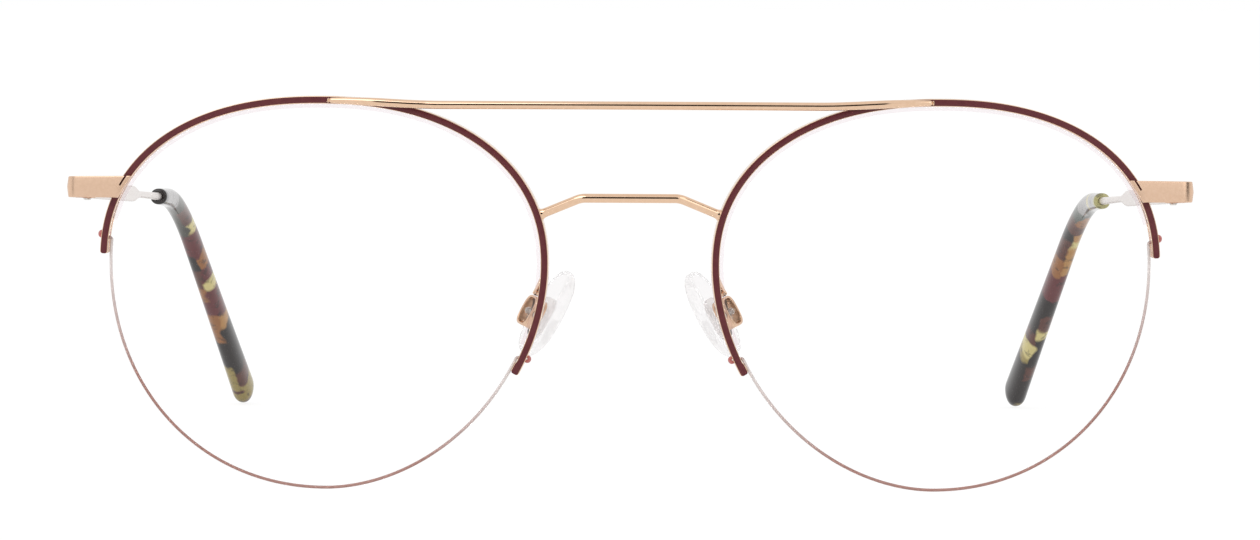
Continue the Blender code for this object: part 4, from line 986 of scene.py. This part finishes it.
def tip_rings():
    """Moulded sleeve: rounded tail, swell, rounded mouth, then back along the wire's bore.

    Its marks are the place along the tip and the side that a point faces."""
    path = temple_path()
    length = distances_along(path)[-1]
    bend = TIP_START + TIP_SWELL
    tail = length - TIP_TRIM - TIP_TAIL_ROUND * (1 - np.sin(np.linspace(0, 0.48 * np.pi, 14)))
    mouth = TIP_START + TIP_MOUTH_ROUND * (1 - np.sin(np.linspace(0, np.pi / 2, 7)))
    swell, neck = np.linspace(tail[0], bend, 90)[1:], np.linspace(bend, mouth[0], 30)[1:]
    stations = np.concatenate([tail[::-1], swell, neck, mouth[1:]])
    growth = np.clip((stations - bend) / (length - bend), 0, 1) ** TIP_GROWTH_POWER
    end = np.clip((stations - length + TIP_TAIL_ROUND) / TIP_TAIL_ROUND, 0, 1)
    share = np.sqrt(1 - end**2)
    lip = np.clip((stations - TIP_START) / TIP_MOUTH_ROUND, 0, 1)
    inset = TIP_MOUTH_ROUND * (1 - np.sqrt(1 - (1 - lip) ** 2)) + TIP_TRIM * share
    bore_end = length - CORE_END_GAP + CORE_CLEARANCE
    bore = np.append(TIP_START, np.linspace(TIP_START + FIT, bore_end, 60))
    hole = np.full(len(bore), CORE_RADIUS + FIT / 2)
    hole[0] += FIT
    halves = []
    for mouth_size, bend_size, tail_size in TIP_SIZES:
        half = np.interp(stations, (TIP_START, bend), (mouth_size / 2, bend_size / 2))
        half += growth * (tail_size - bend_size) / 2
        halves.append(np.append(half * share - inset, hole))
    power = np.repeat((TIP_POWER, 2), (len(stations), len(bore)))
    stations = np.append(stations, bore)
    turned = 2 * np.pi * (np.arange(TIP_SIDES) / TIP_SIDES - TIP_FACING)
    along = (stations[:, None] - TIP_START) / TIP_LENGTH
    along, across = np.broadcast_arrays(along, np.sin(turned))
    marks = {"along": np.append(along, along[[0, -1], 0]), "across": np.append(across, (0, 0))}
    return swept(path, stations, *halves, power, TIP_SIDES), marks


# Nose pads


def pad_rings():
    """Egg-shaped dome: back face with the insert's recess, round edge, full front."""
    ring = oval(PAD_WIDTH / 2, PAD_LENGTH / 2, PAD_POWER, 96)
    recess = oval(FLANGE_WIDTH / 2 + FIT, FLANGE_LENGTH / 2 + FIT, BOX_POWER, 96)
    lift, size = (np.array(values)[:, None] for values in zip(*PAD_PROFILE))
    upward = ring[:, 1] / (PAD_LENGTH / 2)
    fullness = np.interp(upward, (-1, 1), PAD_FULLNESS)
    out = PAD_BACK + lift * PAD_THICKNESS * fullness
    across = size * ring[:, 0] * (1 - PAD_TAPER_SHARE * upward)
    dome = np.stack([out, across, size * ring[:, 1] + PAD_RAISE], axis=-1)
    floor = PAD_BACK + FLANGE_THICKNESS + FIT
    back = [
        np.column_stack([np.full(len(ring), depth), scale * recess])
        for depth, scale in ((floor, 0.3), (floor, 1.0), (PAD_BACK, 1.0))
    ]
    return pad_to_wearing(np.concatenate([back, dome]))


def box_skins():
    """Oblong ring with rounded lips: one skin for its outside, one through it for its opening."""
    half, lip = BOX_HEIGHT / 2, 0.45 * BOX_WALL
    quarter = np.linspace(0, np.pi / 2, 6)
    inset, level = lip * (1 - np.sin(quarter)), half - lip * (1 - np.cos(quarter))
    mirror = np.array([-1, 1])
    side = np.column_stack([level, inset])
    opening = np.column_stack([level, BOX_WALL - inset])[1:]
    opening = np.concatenate([[(1.5 * half, opening[0, 1])], opening])
    skins = []
    for profile in (side, opening):
        profile = np.concatenate([profile * mirror, profile[::-1]])
        inward = profile[:, 1]
        rings = oval(BOX_WIDTH / 2 - inward, BOX_LENGTH / 2 - inward, BOX_POWER, 72)
        x = np.broadcast_to(profile[:, :1], rings.shape[:2])
        skins.append(pad_to_wearing(np.concatenate([x[..., None], rings], axis=-1)))
    return skins


def turned_rings(radius, y, sides):
    """Rings of these radii about the pad screw's axis, each at its own place along it."""
    ring = oval(radius, radius, 2, sides)
    y = np.broadcast_to(np.array(y)[:, None], ring.shape[:2])
    return pad_to_wearing(np.stack([ring[..., 0], y, ring[..., 1]], axis=-1))


def pad_screw_rings():
    """Turned screw: low domed head, then the shank across the box, chamfered at its end."""
    end = BOX_WIDTH / 2 + FIT
    quarter = np.linspace(0, np.pi / 2, 7)[1:]
    head, shank = PAD_SCREW_HEAD_RADIUS, PAD_SCREW_RADIUS
    radius = np.append(head * np.sin(quarter), (head, shank, shank, 0.8 * shank))
    dome = end + PAD_SCREW_HEAD_HEIGHT * (0.45 + 0.55 * np.cos(quarter))
    y = np.append(dome, (end, end, PAD_SCREW_CHAMFER - end, -end))
    return turned_rings(radius, y, 40)


def pad_screw_slot():
    """Room of the screwdriver slot across the pad screw's head."""
    top = BOX_WIDTH / 2 + FIT + PAD_SCREW_HEAD_HEIGHT
    x, z = 1.2 * PAD_SCREW_HEAD_RADIUS, PAD_SCREW_SLOT / 2
    ends = [
        [(-x, y, -z), (x, y, -z), (x, y, z), (-x, y, z)]
        for y in (top - 0.55 * PAD_SCREW_HEAD_HEIGHT, top + PAD_SCREW_HEAD_HEIGHT)
    ]
    return pad_to_wearing(np.array(ends))


def arm_rings():
    """Wire soldered to the rim's back that turns away from it and down to the top of the box."""
    angles = angle_at_height(np.array([ARM_HIGH, -ARM_LOW]), nasal=True)
    seat = at_edge(angles, ARM_SIDE, RIM_DEPTH / 2 + FIT + ARM_RADIUS)
    back, top = -ARM_BOX_SETBACK_SHARE * BOX_WIDTH, BOX_LENGTH / 2 + FIT
    ends = np.array([(-BOX_HEIGHT / 4, back, top + ARM_LEAD), (-BOX_HEIGHT / 4, back, top)])
    bends = (ARM_BEND, ARM_END_BEND)
    path = rounded([*seat, *pad_to_wearing(ends)], bends, 20, closed=False)
    length = distances_along(path)[-1]
    stations, shares = round_ends(length, 90, 0.8 * ARM_RADIUS, 0.1 * ARM_RADIUS)
    return swept(path, stations, ARM_RADIUS * shares, sides=28, up=(1, 0, 0))


# Assembly


def build():
    """Every dressed piece with its skin, body, CAD node, slot and material, cuts and marks, and
    better materials on the CAD pieces that stay."""
    add_piece("brow_bar_wire", bar_rings(), "front", "brow_bar", ROSE_GOLD)
    add_piece("bridge_wire", bridge_rings(), "front", "bridge", ROSE_GOLD)
    pad = pad_rings()
    cord, dye = cord_rings()
    tip, places = tip_rings()
    box, opening = box_skins()
    bore = turned_rings([PAD_SCREW_RADIUS + FIT] * 2, (-BOX_WIDTH, BOX_WIDTH), 32)
    groove = pad_screw_slot()
    cuts = {"endpiece": [endpiece_slot()], "pad_box": [opening, bore], "pad_screw": [groove]}
    marks = {"cord": dye, "temple_tip": places}
    rows = (
        ("lens_{}_clear", lens_rings(), "front", "lens", "demo_lens", LENS),
        ("rim_{}_plated", rim_rings(), "front", "rim", "rose_gold", ROSE_GOLD),
        ("rim_{}_enamel", enamel_rings(), "front", "", "burgundy_enamel", ENAMEL),
        ("cord_{}_nylon", cord, "front", "cord", "nylon_cord", CORD),
        ("endpiece_{}_strip", endpiece_rings(), "front", "endpiece", "rose_gold", SATIN_GOLD),
        ("temple_{}_blade", temple_rings(), "temple_{}_body", "temple", "pale_metal", SILVER),
        ("temple_{}_sleeve", tip, "temple_{}_body", "temple_tip", "tortoise_acetate", ACETATE),
        ("pad_{}_silicone", pad, "nose_pad_{}_body", "nose_pad", "clear_silicone", SILICONE),
        ("pad_box_{}_ring", box, "front", "pad_box", "rose_gold", SATIN_GOLD),
        ("pad_screw_{}_turned", pad_screw_rings(), "front", "pad_screw", "screw_steel", STEEL),
        ("pad_arm_{}_wire", arm_rings(), "front", "pad_arm", "rose_gold", ROSE_GOLD),
    )
    kept = {"rim_liner": LINER, "pad_insert": INSERT, "hinge_screw": STEEL}
    kept |= {"hinge_front": ROSE_GOLD, "hinge_temple": ROSE_GOLD}
    for side, sign in SIDES:
        for stem, material in kept.items():
            paint(frame["nodes"][f"{stem}_{side}"].data, material)
        for name, rings, body, cad, slot, material in rows:
            add_piece(
                name.format(side), rings, body.format(side), cad and f"{cad}_{side}",
                material[side] if material is ACETATE else material, sign,
                cuts.get(cad, ()), marks.get(cad, ()),
            )


# Studio


def wearing_point(x, y, z):
    return REST_TURN @ np.array([x, y, z]) + REST_SHIFT


def place_camera():
    """Straight in front of the face, level with its middle, rolled as the photo is."""
    data = bpy.data.cameras.new("photo_camera")
    data.lens, data.sensor_width = CAMERA_LENS, CAMERA_SENSOR
    data.clip_start, data.clip_end = 10 * MM, 2 * FLOOR_REACH
    matrix = np.eye(4)
    facing = np.array([[1, 0, 0], [0, 0, -1], [0, 1, 0]])
    matrix[:3, :3] = REST_TURN @ turn("y", CAMERA_ROLL) @ facing
    matrix[:3, 3] = wearing_point(0, -CAMERA_DISTANCE, CAMERA_HEIGHT)
    camera = linked("photo_camera", data)
    camera.matrix_world = Matrix(matrix.tolist())
    bpy.context.scene.camera = camera


def aimed(thing, position, aim):
    """Puts a thing at a position and turns its minus z axis, a lamp's beam, toward a point."""
    direction = Vector(aim) - Vector(position)
    facing = direction.to_track_quat("-Z", "Y").to_matrix().to_4x4()
    thing.matrix_world = Matrix.Translation(position) @ facing


def sheet(name, width, height, material):
    """Flat staged sheet about its own middle."""
    x, y = width / 2, height / 2
    mesh = bpy.data.meshes.new(name)
    mesh.from_pydata([(-x, -y, 0), (x, -y, 0), (x, y, 0), (-x, y, 0)], [], [(0, 1, 2, 3)])
    mesh.materials.append(material)
    made = linked(name, mesh)
    return made


def looked_at(tree, lit, seen, end):
    """The lit shader gives the light, and rays that look straight, through a lens or by way of a
    mirror see the other one."""
    rays = node(tree, "LightPath").outputs
    looks = rays["Is Camera Ray"]
    for kind in ("Is Transmission Ray", "Is Glossy Ray"):
        looks = node(tree, "Math", {"operation": "MAXIMUM"}, _0=looks, _1=rays[kind])
    shown = node(tree, "MixShader", _0=looks, _1=lit, _2=seen)
    join(tree, shown, tree.nodes[end].inputs["Surface"])


def studio():
    """White room, floor and soft lamps. The dark cards draw the thin line along the round wires
    and the one where the endpieces turn back."""
    world = bpy.data.worlds.new("white_room")
    bpy.context.scene.world = world
    world.use_nodes = True
    tree = world.node_tree
    soft = tree.nodes["Background"]
    soft.inputs["Color"].default_value = WHITE
    soft.inputs["Strength"].default_value = ROOM_LIGHT
    white = node(tree, "Background", {"Color": WHITE, "Strength": 1.0})
    looked_at(tree, soft, white, "World Output")

    ground = finish("white_floor", ("EFEFEF", "F4F4F4"), 5, 0.01, Roughness=0.9)
    tree = ground.node_tree
    glow = node(tree, "Emission", {"Color": WHITE, "Strength": FLOOR_GLOW})
    faint = node(tree, "BsdfDiffuse", {"Color": FLOOR_SHADE})
    bright = node(tree, "AddShader", _0=glow, _1=faint)
    looked_at(tree, tree.nodes["Principled BSDF"], bright, "Material Output")
    sheet("floor", 2 * FLOOR_REACH, 2 * FLOOR_REACH, ground).location.z = -FLOOR_GAP

    for name, position, size, watts in LAMPS:
        light = bpy.data.lights.new(name, "AREA")
        light.shape, light.size, light.energy = "DISK", size, watts
        aimed(linked(name, light), position, LAMP_AIM)
    dark = finish("dark_card", ("3A3430", "3C3632"), 5, 0.01, Roughness=0.9)
    for name, size, place in CARDS:
        card = sheet(name, *size, dark)
        aimed(card, wearing_point(*place), wearing_point(0, 0, place[2]))
        card.visible_camera = card.visible_shadow = False


build()
place_camera()
studio()
bpy.context.scene.view_settings.view_transform = "Standard"
